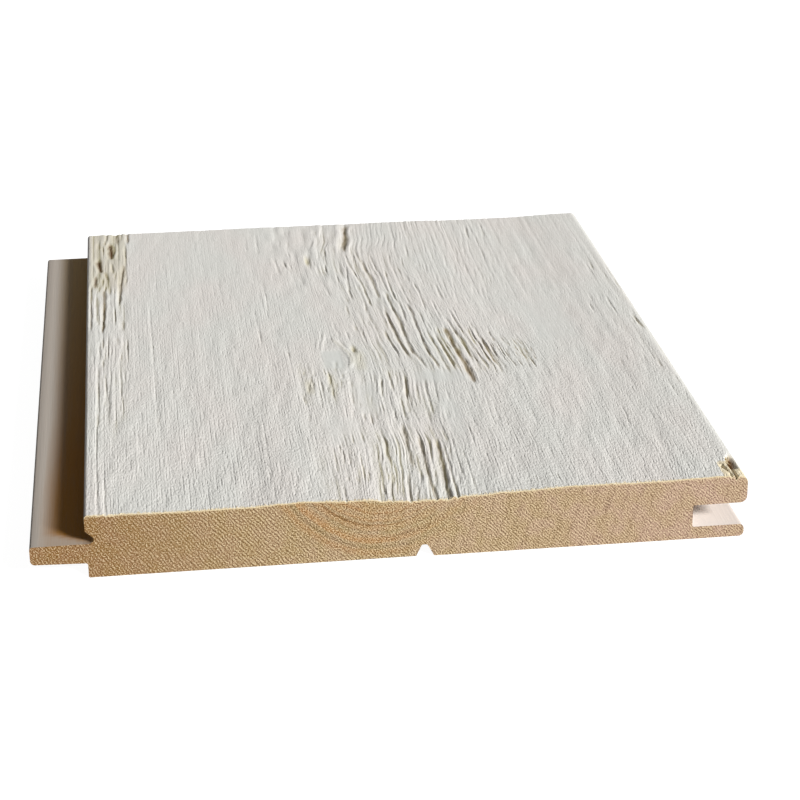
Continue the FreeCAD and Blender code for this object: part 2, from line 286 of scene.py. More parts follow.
NEAR_THE_KNOT = (
    (0.7, 0.6, 0.25, ((-5.4, 4), (-5.0, 0), (-4.8, -3))),
    (0.7, 0.5, 0.15, ((-2.6, 9), (-2.2, 3))),
    (0.8, 0.6, 0.15, ((0.2, 8), (0.4, 0))),
    (0.8, 0.6, 0.15, ((5.4, 9), (4.8, 1))),
    (0.8, 0.6, 0.20, ((-19.3, -4), (-19.3, -17))),
    (0.9, 0.7, 0.12, ((-9.0, -23), (-8.7, -30), (-9.3, -38))),
    (0.7, 0.6, 0.20, ((-5.2, -27), (-4.4, -31))),
    (0.7, 0.6, 0.20, ((-4.8, -31), (-3.8, -36))),
    (0.7, 0.6, 0.15, ((-5.5, -31), (-6.0, -39))),
    (0.9, 0.7, 0.12, ((-15.2, -31), (-15.7, -43))),
    (0.7, 0.6, 0.20, ((-13.8, -32), (-14.0, -38))),
    (0.8, 0.6, 0.20, ((-18.5, -37), (-17.0, -53))),
    (0.8, 0.6, 0.15, ((-11.4, -30), (-11.8, -44))),
    (0.7, 0.5, 0.10, ((2.6, -10), (1.4, -20))),
    (0.7, 0.5, 0.10, ((-16.8, -52), (-17.6, -66))),
)
SECOND_GROUP = (
    (0.9, 0.8, 0.20, ((6.4, -30), (5.2, -43), (4.8, -49))),
    (0.9, 0.8, 0.20, ((8.9, -24), (8.9, -39), (9.3, -50))),
    (0.7, 0.6, 0.10, ((11.0, -26), (11.0, -36))),
    (1.1, 1.0, 0.45, ((13.6, -30), (12.7, -41), (12.3, -50))),
    (0.9, 0.7, 0.20, ((16.1, -36), (15.0, -53))),
    (0.9, 0.7, 0.20, ((19.1, -33), (18.4, -43), (18.0, -63))),
    (0.7, 0.5, 0.10, ((21.4, -38), (20.9, -53))),
    (0.7, 0.5, 0.10, ((24.3, -43), (24.1, -53))),
    (0.8, 0.7, 0.25, ((4.1, -49), (4.3, -55), (4.1, -60))),
    (0.8, 0.6, 0.15, ((0.2, -56), (0.2, -68))),
    (0.7, 0.6, 0.15, ((-1.8, -57), (-1.8, -63))),
    (0.7, 0.5, 0.10, ((7.4, -52), (7.0, -66))),
    (0.7, 0.5, 0.10, ((12.8, -54), (13.4, -70))),
    (0.7, 0.5, 0.10, ((10.0, -54), (10.4, -68))),
)
FRONT_GROUP = (
    (1.3, 1.2, 0.40, ((8.2, -64), (8.1, -72), (7.8, -84), (7.3, -97))),
    (1.0, 0.9, 0.25, ((6.2, -96), (5.0, -104), (4.3, -118))),
    (1.6, 1.4, 0.40, ((11.6, -72), (11.5, -82), (11.2, -98), (10.6, -118))),
    (1.9, 1.6, 0.50, ((16.4, -76), (16.0, -86), (15.2, -100), (14.0, -118))),
    (0.9, 0.8, 0.30, ((17.9, -80), (17.5, -95), (16.8, -118))),
    (1.1, 0.9, 0.30, ((1.8, -71), (2.3, -78), (1.6, -85), (2.3, -95))),
    (0.7, 0.6, 0.15, ((-7.2, -84), (-7.2, -92))),
    (0.7, 0.6, 0.15, ((-10.2, -81), (-10.2, -90))),
    (0.7, 0.6, 0.20, ((-13.0, -93), (-13.0, -98))),
    (0.7, 0.6, 0.15, ((-4.8, -94), (-4.8, -105))),
    (0.7, 0.6, 0.15, ((-9.0, -99), (-7.3, -106))),
    (0.8, 0.7, 0.20, ((-1.8, -104), (-1.8, -114))),
    (0.6, 0.4, 0.05, ((20.9, -72), (20.0, -110))),
    (0.6, 0.4, 0.05, ((26.5, -67), (26.5, -87))),
    (0.6, 0.4, 0.05, ((32.4, -83), (32.4, -96))),
    (0.7, 0.7, 0.15, ((4.6, -76), (4.2, -90))),
    (0.8, 0.7, 0.15, ((0.4, -90), (0.0, -104))),
    (0.7, 0.6, 0.10, ((-12.2, -104), (-12.6, -116))),
    (0.6, 0.4, 0.05, ((22.6, -84), (22.2, -118))),
)
RIGHT_SIDE = (
    (0.8, 0.35, 0.15, ((86.8, 29), (87.2, 7))),
    (1.1, 0.9, 0.45, ((91.5, 12), (92.2, 0), (92.7, -5))),
    (0.9, 0.7, 0.30, ((90.4, -28), (90.6, -40))),
    (0.8, 0.6, 0.20, ((92.5, -40), (92.7, -51))),
    (0.8, 0.5, 0.10, ((93.1, 60), (93.2, 30))),
    (0.6, 0.4, 0.10, ((79.6, -27), (79.6, -33))),
    (0.7, 0.5, 0.20, ((88.6, 62), (88.2, 53))),
    (0.7, 0.4, 0.05, ((82.4, 34), (81.8, 22))),
    (0.7, 0.4, 0.05, ((84.2, 20), (83.6, 6))),
    (0.6, 0.4, 0.05, ((80.6, 26), (80.2, 12))),
    (0.6, 0.3, 0.00, ((34.7, -49), (34.7, -61))),
    (0.5, 0.3, 0.05, ((36.1, -54), (36.1, -73))),
    (0.5, 0.3, 0.05, ((37.8, -58), (37.8, -78))),
    (0.5, 0.3, 0.05, ((42.5, -71), (43.0, -86), (42.4, -97))),
    (0.5, 0.3, 0.05, ((39.0, -103), (39.0, -114))),
    (0.5, 0.3, 0.05, ((44.9, -106), (44.9, -112))),
    (0.5, 0.3, 0.05, ((61.5, -96), (61.5, -105))),
    (0.6, 0.4, 0.10, ((72.0, -65), (71.5, -81))),
    (0.5, 0.3, 0.05, ((75.0, -52), (75.0, -63))),
    (0.5, 0.3, 0.05, ((77.6, -58), (77.6, -64))),
    (0.9, 0.5, 0.05, ((53.6, 112), (52.6, 102), (52.0, 92))),
    (0.8, 0.5, 0.05, ((58.8, 114), (58.2, 98), (56.6, 90))),
    (0.7, 0.4, 0.05, ((44.8, 116), (44.2, 104))),
)
LEFT_THIRD = (
    (0.7, 0.4, 0.00, ((-26.0, 104), (-25.6, 86))),
    (0.7, 0.3, 0.00, ((-24.6, 52), (-24.2, 28))),
    (0.6, 0.4, 0.05, ((-23.6, -94), (-24.6, -104), (-26.0, -118))),
    (0.6, 0.3, 0.00, ((-20.8, -82), (-19.0, -96), (-17.2, -112))),
    (0.6, 0.3, 0.00, ((-15.2, -98), (-15.2, -112))),
    (0.6, 0.3, 0.00, ((-44.0, 108), (-43.2, 90))),
    (0.6, 0.3, 0.00, ((-59.8, -12), (-59.8, -30))),
    (0.6, 0.3, 0.00, ((-55.0, -26), (-55.2, -46))),
    (0.7, 0.35, 0.00, ((-60.4, 44), (-60.2, 0), (-60.0, -62))),
    (0.7, 0.35, 0.00, ((-21.6, 112), (-22.4, 84))),
    (0.7, 0.35, 0.00, ((-27.2, 34), (-26.6, -8))),
    (0.7, 0.35, 0.00, ((-22.4, 60), (-22.8, 26))),
    (0.7, 0.35, 0.00, ((-30.6, -58), (-31.2, -104))),
    (0.6, 0.30, 0.00, ((-37.4, 70), (-37.0, 44))),
)


# Paint has run into the grooves: the deeper one is, the more of it is filled
DEPTH_KEPT = 0.48
DEPTH_POWER = 0.58


def groove_field(across, along, grooves, seed):
    """Depth, lip height and bareness that a group of grooves gives each point of the face; the bareness is laid
    towards the shaded right side, as partly painted shade.
    """
    depth = np.zeros_like(across)
    lips = np.zeros_like(across)
    bare = np.zeros_like(across)
    for number, (wide, deep, bareness, course) in enumerate(grooves):
        key = seed + 31 * number
        course = np.array(sorted(course, key=lambda p: p[1]))
        low, high = course[0, 1], course[-1, 1]
        near = np.abs(across - np.interp(along, course[:, 1], course[:, 0])) < wide * 2.0 + 1.2
        near &= (along > low - 0.5) & (along < high + 0.5)
        if not near.any():
            continue
        x = across[near]
        y = along[near]
        taper = min(7.0, 0.45 * (high - low)) * (1.0 - 0.5 * bareness)
        reach = smooth((y - low) / taper) if low > FRONT else np.ones_like(y)
        reach = reach * (smooth((high - y) / taper) if high < BACK else 1.0)
        middle = np.interp(y, course[:, 1], course[:, 0]) + 0.10 * wander(y, 3.9, key)
        half = 0.5 * wide * (0.55 + 0.45 * reach) * (1.0 + 0.30 * wander(y, 3.3, key + 2))
        off = (x - middle) / half
        # A soft slope down from the left to a steep wall on the right, where the fibres broke off, with a crack
        # under that wall that comes and goes
        valley = np.where(off < 0.1, np.exp(-((off - 0.1) * 0.98) ** 2), 1.0 - smooth((off - 0.1) / 1.25))
        broken = smooth(0.65 + 0.8 * wander(y, 5.3, key + 6))
        crack = np.exp(-((off - 0.3) / 0.36) ** 2) * broken
        # Painted shade in part: the bare wood's brown is centred right of the groove's middle, on the side in shade
        bare_on_shaded_side = np.exp(-((off - 0.75 + 0.45 * bareness) / (0.45 + 0.45 * bareness)) ** 2)
        uneven = 0.80 + 0.34 * wander(y, 3.7, key + 3)
        full = DEPTH_KEPT * deep ** DEPTH_POWER
        cutting = full * reach * uneven * (0.80 * valley + 0.20 * crack)
        edge = 0.8 * np.exp(-((off + 1.7) / 0.5) ** 2) + np.exp(-((off - 1.6) / 0.4) ** 2)
        lip = 0.34 * full * edge * reach * (0.7 + 0.5 * wander(y, 3.5, key + 5))
        depth[near] = np.maximum(depth[near], cutting)
        lips[near] = np.maximum(lips[near], lip)
        bare[near] = np.maximum(bare[near], bareness * reach * np.maximum(0.75 * bare_on_shaded_side, crack))
    return depth, lips, bare


def filler_grooves(count, middle, half, wide, deep, bare, length, lean, seed):
    """Short grooves scattered over a patch of the face, as a wire brush leaves them."""
    rng = np.random.default_rng(seed)
    made = []
    for _ in range(count):
        x = middle[0] + half[0] * rng.uniform(-1.0, 1.0)
        y = middle[1] + half[1] * rng.uniform(-1.0, 1.0)
        run = rng.uniform(*length)
        drift = lean * run + rng.uniform(-0.02, 0.02) * run
        course = ((x + drift / 2, y + run / 2), (x - drift / 2, y - run / 2))
        made.append((rng.uniform(*wide), rng.uniform(*deep), bare * rng.uniform(0.3, 1.0), course))
    return tuple(made)


FILLERS = (
    # Torn patch and the grooves that lead to it
    filler_grooves(22, (33, -12), (9, 20), (0.6, 1.0), (0.2, 0.5), 0.35, (5, 14), -0.04, 901)
    + filler_grooves(54, (46.5, -15), (7.5, 12), (0.45, 0.70), (0.20, 0.42), 0.60, (3, 9), -0.05, 916)
    + filler_grooves(34, (18, 22), (14, 50), (0.6, 1.2), (0.08, 0.30), 0.20, (5, 15), -0.04, 902)
    + filler_grooves(26, (6, 60), (14, 50), (0.6, 1.3), (0.12, 0.45), 0.14, (6, 18), 0.0, 903)
    # Front group
    + filler_grooves(40, (3, -94), (17, 20), (0.5, 0.9), (0.2, 0.6), 0.20, (4, 12), 0.02, 904)
    + filler_grooves(34, (9, -50), (15, 20), (0.5, 0.9), (0.10, 0.38), 0.14, (5, 14), 0.04, 905)
    + filler_grooves(22, (-12, -38), (8, 20), (0.5, 0.8), (0.2, 0.5), 0.18, (3, 9), 0.03, 906)
    # Strip along the tongue's side
    + filler_grooves(18, (-73, 60), (6, 56), (0.8, 1.5), (0.3, 0.8), 0.38, (6, 16), 0.0, 907)
    + filler_grooves(22, (-73, -20), (6, 34), (0.5, 0.9), (0.15, 0.45), 0.12, (6, 20), 0.0, 908)
    # Edge along the groove's side
    + filler_grooves(26, (89, 10), (5, 70), (0.5, 0.8), (0.06, 0.22), 0.10, (3, 12), 0.03, 909)
    # Short dashes in the right-hand third, leaning as the grain does
    + filler_grooves(150, (68, 0), (26, 114), (0.5, 0.8), (0.05, 0.14), 0.03, (3, 8), 0.15, 910)
    + filler_grooves(60, (44, 60), (14, 54), (0.5, 0.9), (0.05, 0.13), 0.03, (5, 14), 0.06, 911)
    # Short faint streaks over the middle and right of the back
    + filler_grooves(150, (40, 78), (30, 40), (0.5, 0.9), (0.07, 0.18), 0.04, (6, 22), 0.06, 913)
    + filler_grooves(24, (-6, 84), (10, 26), (0.7, 1.2), (0.12, 0.36), 0.10, (3, 9), 0.10, 915)
    # Fine streaks in the left-hand third
    + filler_grooves(130, (-44, 0), (26, 114), (0.5, 0.8), (0.07, 0.2), 0.02, (4, 12), 0.0, 912)
)


def roughness_of_brushing(x, y):
    """How hard the brush has torn each place, from 0 on smooth wood to 1."""
    rough = 0.85 * patch(x, y, (33, -13), (9, 15), (6, 9))
    rough = np.maximum(rough, 0.50 * patch(x, y, (47, -16), (5, 8), (4, 7)))
    rough = np.maximum(rough, 0.42 * patch(x, y, (16, 30), (9, 44), (9, 24)))
    rough = np.maximum(rough, 0.45 * patch(x, y, (6, 92), (5, 22), (9, 16)))
    rough = np.maximum(rough, 0.80 * patch(x, y, (7, -96), (10, 22), (9, 12)))
    rough = np.maximum(rough, 0.55 * patch(x, y, (9, -44), (9, 14), (7, 12)))
    rough = np.maximum(rough, 0.50 * patch(x, y, (-12, -34), (6, 10), (5, 12)))
    rough = np.maximum(rough, 0.50 * patch(x, y, (-6, -98), (8, 14), (6, 10)))
    rough = np.maximum(rough, 0.55 * patch(x, y, (-74, 76), (5, 40), (3, 22)))
    rough = np.maximum(rough, 0.45 * patch(x, y, (-74, 0), (4, 50), (4, 30)))
    rough = np.maximum(rough, 0.25 * patch(x, y, (91, 10), (2, 60), (5, 26)))
    rough = np.maximum(rough, 0.15 * patch(x, y, (50, 84), (24, 34), (10, 14)))
    return rough


def smooth_spots(x, y):
    """Patches that the brush left smooth: greyish, with hardly any streaks."""
    spots = 1.0 * patch(x, y, (-6.4, -16), (2.2, 6.0), (1.6, 3.0))
    spots = np.maximum(spots, 0.6 * patch(x, y, (0, -47), (2, 8), (3, 7)))
    spots = np.maximum(spots, 0.7 * patch(x, y, (24, -33), (6, 2), (4, 5)))
    spots = np.maximum(spots, 0.5 * patch(x, y, (23.5, -64), (1.0, 9), (2.5, 9)))
    spots = np.maximum(spots, 0.45 * patch(x, y, (-8, -70), (3, 6), (4, 7)))
    spots = np.maximum(spots, 0.5 * patch(x, y, (65, 10), (4, 12), (5, 10)))
    return spots


# Height of the face's front and back edges above the back, in millimetres (across, up)
FRONT_EDGE_HEIGHTS = (
    (-80.5, 17.8), (-74.8, 17.6), (-57.5, 17.3), (-39.0, 17.3), (-25.5, 17.85), (-7.5, 17.3), (-3.5, 16.8),
    (6.5, 16.4), (14.5, 16.5), (22.5, 16.95), (30.5, 17.25), (47.5, 17.8), (67.5, 17.6), (85.5, 17.95), (95.0, 17.95),
)
BACK_EDGE_HEIGHTS = (
    (-80.5, 17.85), (-72.0, 17.93), (-20.0, 17.93), (8.0, 17.75), (32.0, 17.8), (50.0, 17.45), (68.0, 17.42),
    (87.0, 17.9), (95.0, 17.95),
)


def edge_height(x, table):
    """Height of one end's edge at each place across, smooth between the places that were read."""
    places, heights = np.array(table).T
    k = np.clip(np.searchsorted(places, x) - 1, 0, len(places) - 2)
    f = smooth((x - places[k]) / (places[k + 1] - places[k]))
    return heights[k] * (1.0 - f) + heights[k + 1] * f


def face_height(x, y):
    """Height of the brushed face before the grain is cut."""
    towards_front = smooth((-5.0 - y) / 105.0)
    waves = 0.10 * (staggered_noise(x, y, 14.0, 90.0, 41) - 0.5)
    front = edge_height(x, FRONT_EDGE_HEIGHTS)
    back = edge_height(x, BACK_EDGE_HEIGHTS)
    return back * (1.0 - towards_front) + front * towards_front + waves


# Course of the crest beside the knot, as (along, across)
KNOT_CREST = (
    (-25.0, -2.8), (-19.0, -0.8), (-15.0, -0.7), (-11.5, -1.0), (-8.5, -1.9), (-5.8, -2.8), (-2.5, -3.8), (0.5, -4.8),
)


def knot_swirl(x, y):
    """The small sound knot left of the middle, a smooth flat with a curled crest of grain round its right side, and
    the pimple near the back. Returns height and how cream."""
    turn = np.interp(y, *np.array(KNOT_CREST).T)
    crest = np.exp(-(((x - turn) / 0.58) ** 2)) * smooth((y + 24.0) / 6.0) * smooth((2.0 - y) / 3.0)
    notch = np.exp(-(((x - 0.8) / 0.7) ** 2) - ((y + 7.4) / 2.4) ** 2)
    behind = np.exp(-(((x - turn - 1.5) / 0.6) ** 2)) * smooth((y + 6.0) / 2.0) * smooth((1.0 - y) / 3.0)
    white = np.exp(-(((x + 8.0 + 0.17 * (0.0 - y)) / 0.45) ** 2)) + np.exp(-(((x + 9.5 + 0.15 * (0.0 - y)) / 0.4) ** 2))
    white = white * smooth((9.0 - y) / 4.0) * smooth((y + 9.0) / 4.0)
    pimple = np.exp(-(((x + 8.1) / 0.8) ** 2) - ((y - 78.5) / 3.4) ** 2)
    hole = np.exp(-(((x + 6.2) / 0.75) ** 2) - ((y - 77.0) / 4.6) ** 2)
    ring = 0.95 * crest - 0.85 * notch - 0.40 * behind + 0.26 * white
    olive = 0.7 * notch + 0.20 * crest + 0.30 * patch(x, y, (1.6, -17), (0.4, 5), (2.4, 6)) + 0.7 * hole
    olive = olive + 0.28 * patch(x, y, (-8.4, -36), (0.4, 6), (1.2, 5))
    olive = olive + 0.32 * patch(x, y, (-15.2, -37), (0.6, 3), (1.3, 5))
    return ring + 0.45 * pimple - 0.70 * hole, np.clip(olive, 0.0, 1.0)


def torn_corner(x, y):
    """The corner by the groove's side, where a chip has split away. Returns depth, bareness and how fibrous."""
    wall = np.interp(y, (-116.0, -110.0, -106.0, -103.0, -100.0), (91.1, 90.9, 91.1, 92.2, 93.8))
    wall = wall + 0.25 * wander(y, 1.7, 78)
    fray = 0.9 + 0.3 * (staggered_noise(x, y, 0.7, 5.0, 77) - 0.5)
    pit = smooth((x - wall) / 0.6) * smooth((-100.5 - y) / 3.0)
    rising = smooth((-107.5 - y) / 4.5) * smooth((x - wall - 0.45) / 0.8)
    depth = 1.9 * pit * fray * (1.0 - 0.84 * rising)
    beside = patch(x, y, (90.2, -111.6), (1.2, 4.4), (0.9, 1.6)) * (1.0 - pit)
    slit_line = 89.6 + (y + 108.6) * (-1.1 / 5.0)
    slit = np.exp(-((x - slit_line) / 0.32) ** 2) * patch(x, y, (90, -110.8), (2, 2.0), (1, 1.2))
    notch = np.exp(-((x - 90.5) / 0.35) ** 2) * smooth((-113.2 - y) / 1.4)
    broken = beside * (staggered_noise(x, y, 0.55, 3.0, 79) - 0.35) * smooth((wall - 0.8 - x) / 0.5)
    bare = np.clip(0.95 * pit * (1.0 - 0.75 * rising) + 0.9 * slit + 0.6 * notch, 0.0, 1.0)
    ridge = 0.25 * np.exp(-((wall - 0.7 - x) / 0.5) ** 2) * smooth((-102.0 - y) / 4.0)
    depth = depth - ridge
    return depth + 0.9 * slit + 0.8 * notch + 0.7 * np.maximum(broken, 0.0), bare, np.clip(1.6 * (beside + rising), 0.0, 1.6)


# How far the grain drifts across as it runs from the back to the front, in millimetres (along, drift across), on
# the line of the long grooves and on the line of the torn patch
GROOVE_DRIFT = (
    (-118, -1.6), (-94, 0.2), (-80, 1.2), (-66, 0.6), (-50, 1.0), (-30, 2.2), (-16, 1.9), (0, 0.6), (35, -0.6),
    (50, -1.4), (70, -2.0), (87, -1.6), (100, 0.2), (118, 1.2),
)
PATCH_DRIFT = ((-118, 2.9), (-45, 2.8), (-30, 2.5), (-12, 1.1), (0, 0.2), (50, -0.6), (118, 0.0))


def grain_course(u, y):
    """Where the grain line that starts u across the board has got to, y along it."""
    on_patch = smooth((u - 14.0) / 26.0)
    left = 1.0 - smooth((4.0 - u) / 20.0)
    right = 1.0 - smooth((u - 44.0) / 34.0)
    drift = edge_height(y, GROOVE_DRIFT) * left * (1.0 - on_patch) + edge_height(y, PATCH_DRIFT) * right * on_patch
    knot = 1.5 * np.exp(-(((u + 5.5) / 6.0) ** 2) - ((y + 13.0) / 11.0) ** 2) * np.tanh((u + 5.5) / 2.2)
    inside = smooth((u - TONGUE_EDGE - 2.0) / 8.0) * smooth((GROOVE_EDGE - 3.0 - u) / 8.0)
    return u + drift + knot + 0.35 * wander(y, 55.0, 5) * inside


def brushed_face(u, v, x, y):
    """The painted face at (x, y), on the grain lines (u, v): its height, how bare and how cream each place is (both
    with painted shade on the walls that face away from the lamp), how much painted shade it takes for lying deep in
    the relief, and where it has split."""
    rough = roughness_of_brushing(x, y)
    calm = smooth_spots(x, y)
    height = face_height(x, y)
    edge = smooth((x - TONGUE_EDGE) / 1.6) * smooth((GROOVE_EDGE - x) / 2.4)

    # Broad waves along the grain, torn ridges where the brush dug in, and fine scratches everywhere
    broad = staggered_noise(u, v, 3.1, 42.0, 11) - 0.5
    ridges = staggered_noise(u, v, 1.3, 30.0, 16) - 0.5
    torn = scores(u, v, 1.7, 18.0, 12)
    fine = scores(u, v, 0.95, 7.0, 13)
    bite = 0.35 + 0.9 * smooth((120.0 - y) / 236.0)
    relief = (0.05 + 0.20 * rough) * broad
    relief = relief + (0.03 + 0.45 * rough) * ridges * (1.0 - 0.8 * calm)
    uneven = (0.03 + 0.16 * bite) * (1.0 - calm)
    relief = relief + uneven * (staggered_noise(u, v, 1.8, 8.0, 18) - 0.5)
    relief = relief + 0.9 * uneven * (staggered_noise(u, v, 3.4, 17.0, 20) - 0.5)
    relief = relief - 0.22 * smooth(rough * 1.6 - 0.2) * torn * (1.0 - calm)
    relief = relief - (0.03 * bite + 0.07 * rough) * fine * (1.0 - 0.75 * calm)
    # Faint lines over the back, and lumps left of its middle
    relief = relief - 0.07 * patch(x, y, (50, 84), (34, 36), (14, 30)) * scores(u, v, 1.9, 26.0, 21)
    lumps = patch(x, y, (-4, 82), (10, 28), (8, 14)) * (1.0 - calm)
    relief = relief + 0.42 * lumps * (staggered_noise(u, v, 1.9, 9.0, 17) - 0.5)

    depth = np.zeros_like(x)
    lips = np.zeros_like(x)
    bare = np.zeros_like(x)
    groups = (LEFT_STRIP, CENTRE_GROOVES, TORN_PATCH, NEAR_THE_KNOT, SECOND_GROUP, FRONT_GROUP, RIGHT_SIDE,
              LEFT_THIRD, FILLERS)
    for number, group in enumerate(groups):
        across = u if group is FILLERS else x
        d, l, b = groove_field(across, y, group, 1000 * (number + 1))
        depth = np.maximum(depth, d)
        lips = np.maximum(lips, l)
        bare = np.maximum(bare, b)
    chip, chip_bare, split = torn_corner(x, y)
    depth = np.where(chip < 0.0, depth + chip, np.maximum(depth, chip))
    bare = np.maximum(bare, chip_bare)

    swirl, olive = knot_swirl(x, y)
    cut = relief + swirl + lips - depth
    # Valleys are cream where the brush took most of the paint, above all at the back of the strip by the tongue,
    #     and more so on their right walls, where the fibres broke off and which face away from the key lamp: there the
    #     browner cream is partly painted shade
    slope = np.gradient(cut, axis=1) / np.maximum(np.gradient(x, axis=1), 0.05)
    shaded_right_wall = smooth((slope + 0.12) / 0.5)
    valley = smooth((0.12 - cut) / 0.35)
    tint = smooth((staggered_noise(u, v, 1.5, 13.0, 19) - 0.35) / 0.35)
    strip = patch(x, y, (-73.5, 92), (5.5, 26), (1.5, 16))
    cream_and_shade = valley * (0.25 + 0.75 * tint) * (1.1 * rough + 0.6 * strip) * (0.12 + 0.88 * shaded_right_wall)
    cream_and_shade = np.clip(cream_and_shade + 0.20 * strip + olive, 0.0, 1.0)
    # Painted shade: places deep in the relief, the right walls that face away from the key lamp, and the strip by     the tongue are coloured darker
    painted_hollow_shade = np.clip(0.5 - (cut / 1.2) * (0.4 + 0.6 * shaded_right_wall) + 0.30 * strip, 0.0, 1.0)
    return height, edge * cut, bare * edge, cream_and_shade, painted_hollow_shade, split, calm


LAYERS = ("bare_wood_and_shade", "cream_wood_and_shade", "painted_hollow_shade", "overspray_and_painted_light", "fringe", "calm")


def board_mesh():
    """One closed mesh of the whole board, with the brushed relief on its face."""
    face_line, rest_line = split_outline(end_outline(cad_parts["board"]))
    face = face_columns(face_line)
    rest = rest_columns(rest_line)[1:-1]
    t = np.linspace(0.0, 1.0, ROWS)
    along = FRONT + (BACK - FRONT) * (t * (1.0 - ROW_CROWDING) + ROW_CROWDING * t * t)

    n_face = len(face)
    n_ring = n_face + len(rest)
    ring = np.vstack([face, rest])
    x = np.repeat(ring[:, 0][None, :], ROWS, 0)
    y = np.repeat(along[:, None], n_ring, 1)
    z = np.repeat(ring[:, 1][None, :], ROWS, 0)

    # Each column of the face follows a grain line, so that the mesh runs along the streaks
    u = x[:, :n_face].copy()
    v = y[:, :n_face]
    x[:, :n_face] = grain_course(u, v)
    height, cut, bare, cream_and_shade, painted_hollow_shade, split, calm = brushed_face(u, v, x[:, :n_face], v)
    round_off = FACE_TOP - np.interp(ring[:n_face, 0], face_line[:, 0], face_line[:, 1])
    hollow = (ring[:n_face, 0] > TONGUE_EDGE + 3.0) & (ring[:n_face, 0] < GROOVE_EDGE - 3.0)
    round_off = np.where(hollow, 0.0, round_off)
    keep = slice(1, n_face - 1)
    z[:, keep] = np.minimum(height - round_off + cut, FACE_TOP - 0.01 - round_off)[:, keep]

    layers = {name: np.zeros((ROWS, n_ring)) for name in LAYERS}
    layers["bare_wood_and_shade"][:, :n_face] = bare
    layers["cream_wood_and_shade"][:, :n_face] = cream_and_shade
    layers["painted_hollow_shade"][:, :n_face] = painted_hollow_shade
    layers["calm"][:, :n_face] = calm
    layers["overspray_and_painted_light"][:] = overspray_and_painted_light(x, y, z)
    layers["fringe"][:, :n_face] = np.maximum(np.exp(-(y[:, :n_face] - FRONT) / 0.7), split)
    flow = np.stack([x, y, z], -1)
    flow[:, :n_face, 0] = u
    flow[:, :n_face, 1] = v

    points = [np.stack([x, y, z], -1).reshape(-1, 3)]
    values = {name: [layer.reshape(-1)] for name, layer in layers.items()}
    flows = [flow.reshape(-1, 3)]
    faces = []
    kinds = []

    index = np.arange(ROWS * n_ring).reshape(ROWS, n_ring)
    ahead = np.roll(index, -1, axis=1)
    quads = np.stack([index[:-1], ahead[:-1], ahead[1:], index[1:]], -1)
    faces.extend(quads.reshape(-1, 4).tolist())
    kind_of_column = np.where(np.arange(n_ring) < n_face - 1, 0, 1)
    kinds.extend(np.repeat(kind_of_column[None, :], ROWS - 1, 0).reshape(-1).tolist())

    # Each sawn end has two narrow rows under its top edge, for the frayed fibres, and one face for the rest
    start = ROWS * n_ring
    for row, outward in ((0, 1), (ROWS - 1, -1)):
        top = index[row, :n_face]
        below = []
        for drop, fringe in ((0.35, 0.45), (1.2, 0.0)):
            inner = np.arange(1, n_face - 1)
            block = np.stack([x[row, inner], y[row, inner], z[row, inner] - drop], -1)
            points.append(block)
            flows.append(block)
            for name in values:
                values[name].append(np.full(len(inner), fringe if name == "fringe" else 0.0))
            below.append(np.arange(start, start + len(inner)))
            start += len(inner)
        made = []
        upper = top[1:-1]
        for lower in below:
            made.extend([upper[k], lower[k], lower[k + 1], upper[k + 1]] for k in range(len(lower) - 1))
            made.append([top[0], lower[0], upper[0]])
            made.append([top[-1], upper[-1], lower[-1]])
            upper = lower
        around = [top[0], *index[row, n_face:][::-1], top[-1]]
        made.append([*around, *below[-1][::-1]])
        for loop in made:
            loop = [int(k) for k in loop]
            faces.append(loop if outward > 0 else loop[::-1])
            kinds.append(2)

    arris = points[0][:n_face]
    values = {name: np.concatenate(parts) for name, parts in values.items()}
    return np.concatenate(points), faces, kinds, values, np.concatenate(flows), arris


def overspray_and_painted_light(x, y, z):
    """How much of the face's paint has reached the tongue, the groove and the edges, from 0 to 1. On the tongue it is
    partly painted light: the film lies where light falls on it and thins where the face's shadow falls.
    """
    paint = np.zeros_like(x)
    on_tongue = (x < -79.0) & (z > 9.0) & (z < 11.5)
    # Painted light: a narrow band at the tongue's front and the outer part of its top, whose inner edge follows the     face's shadow and lies further out towards the front
    painted_light_front = 0.55 * smooth((-111.5 - y - 0.6 * (x + 82.0)) / 3.5)
    outer = 1.0 - smooth((x + 93.5 + 2.0 * smooth((-20.0 - y) / 80.0)) / 9.0)
    paint = np.where(on_tongue, np.maximum(outer, painted_light_front), paint)
    in_groove = (x > 80.0) & (z > 3.0) & (z < 12.5)
    paint = np.where(in_groove, 0.85, paint)
    side = (x > 94.0) & (z >= 11.0)
    paint = np.where(side, 1.0, paint)
    shoulder = (x > -80.9) & (x < -77.0) & (z > 13.0)
    return np.where(shoulder, 0.55, paint)


# Materials

def hex_colour(text):
    """An sRGB hex colour as the linear colour that a shader takes."""
    parts = [int(text[k:k + 2], 16) / 255.0 for k in (0, 2, 4)]
    linear = [p / 12.92 if p <= 0.04045 else ((p + 0.055) / 1.055) ** 2.4 for p in parts]
    return (*linear, 1.0)


MIX_A = 6
MIX_B = 7
MIX_RESULT = 2


def add(tree, kind, inputs=None, **settings):
    """Adds a node with its settings, and fills or links its inputs."""
    made = tree.nodes.new(kind)
    for name, value in settings.items():
        setattr(made, name, value)
    for socket, value in (inputs or {}).items():
        if isinstance(value, bpy.types.NodeSocket):
            tree.links.new(value, made.inputs[socket])
        else:
            made.inputs[socket].default_value = value
    return made


def new_material(name):
    """An empty material with only its output."""
    material = bpy.data.materials.new(name)
    material.use_nodes = True
    material.node_tree.nodes.clear()
    return material, material.node_tree


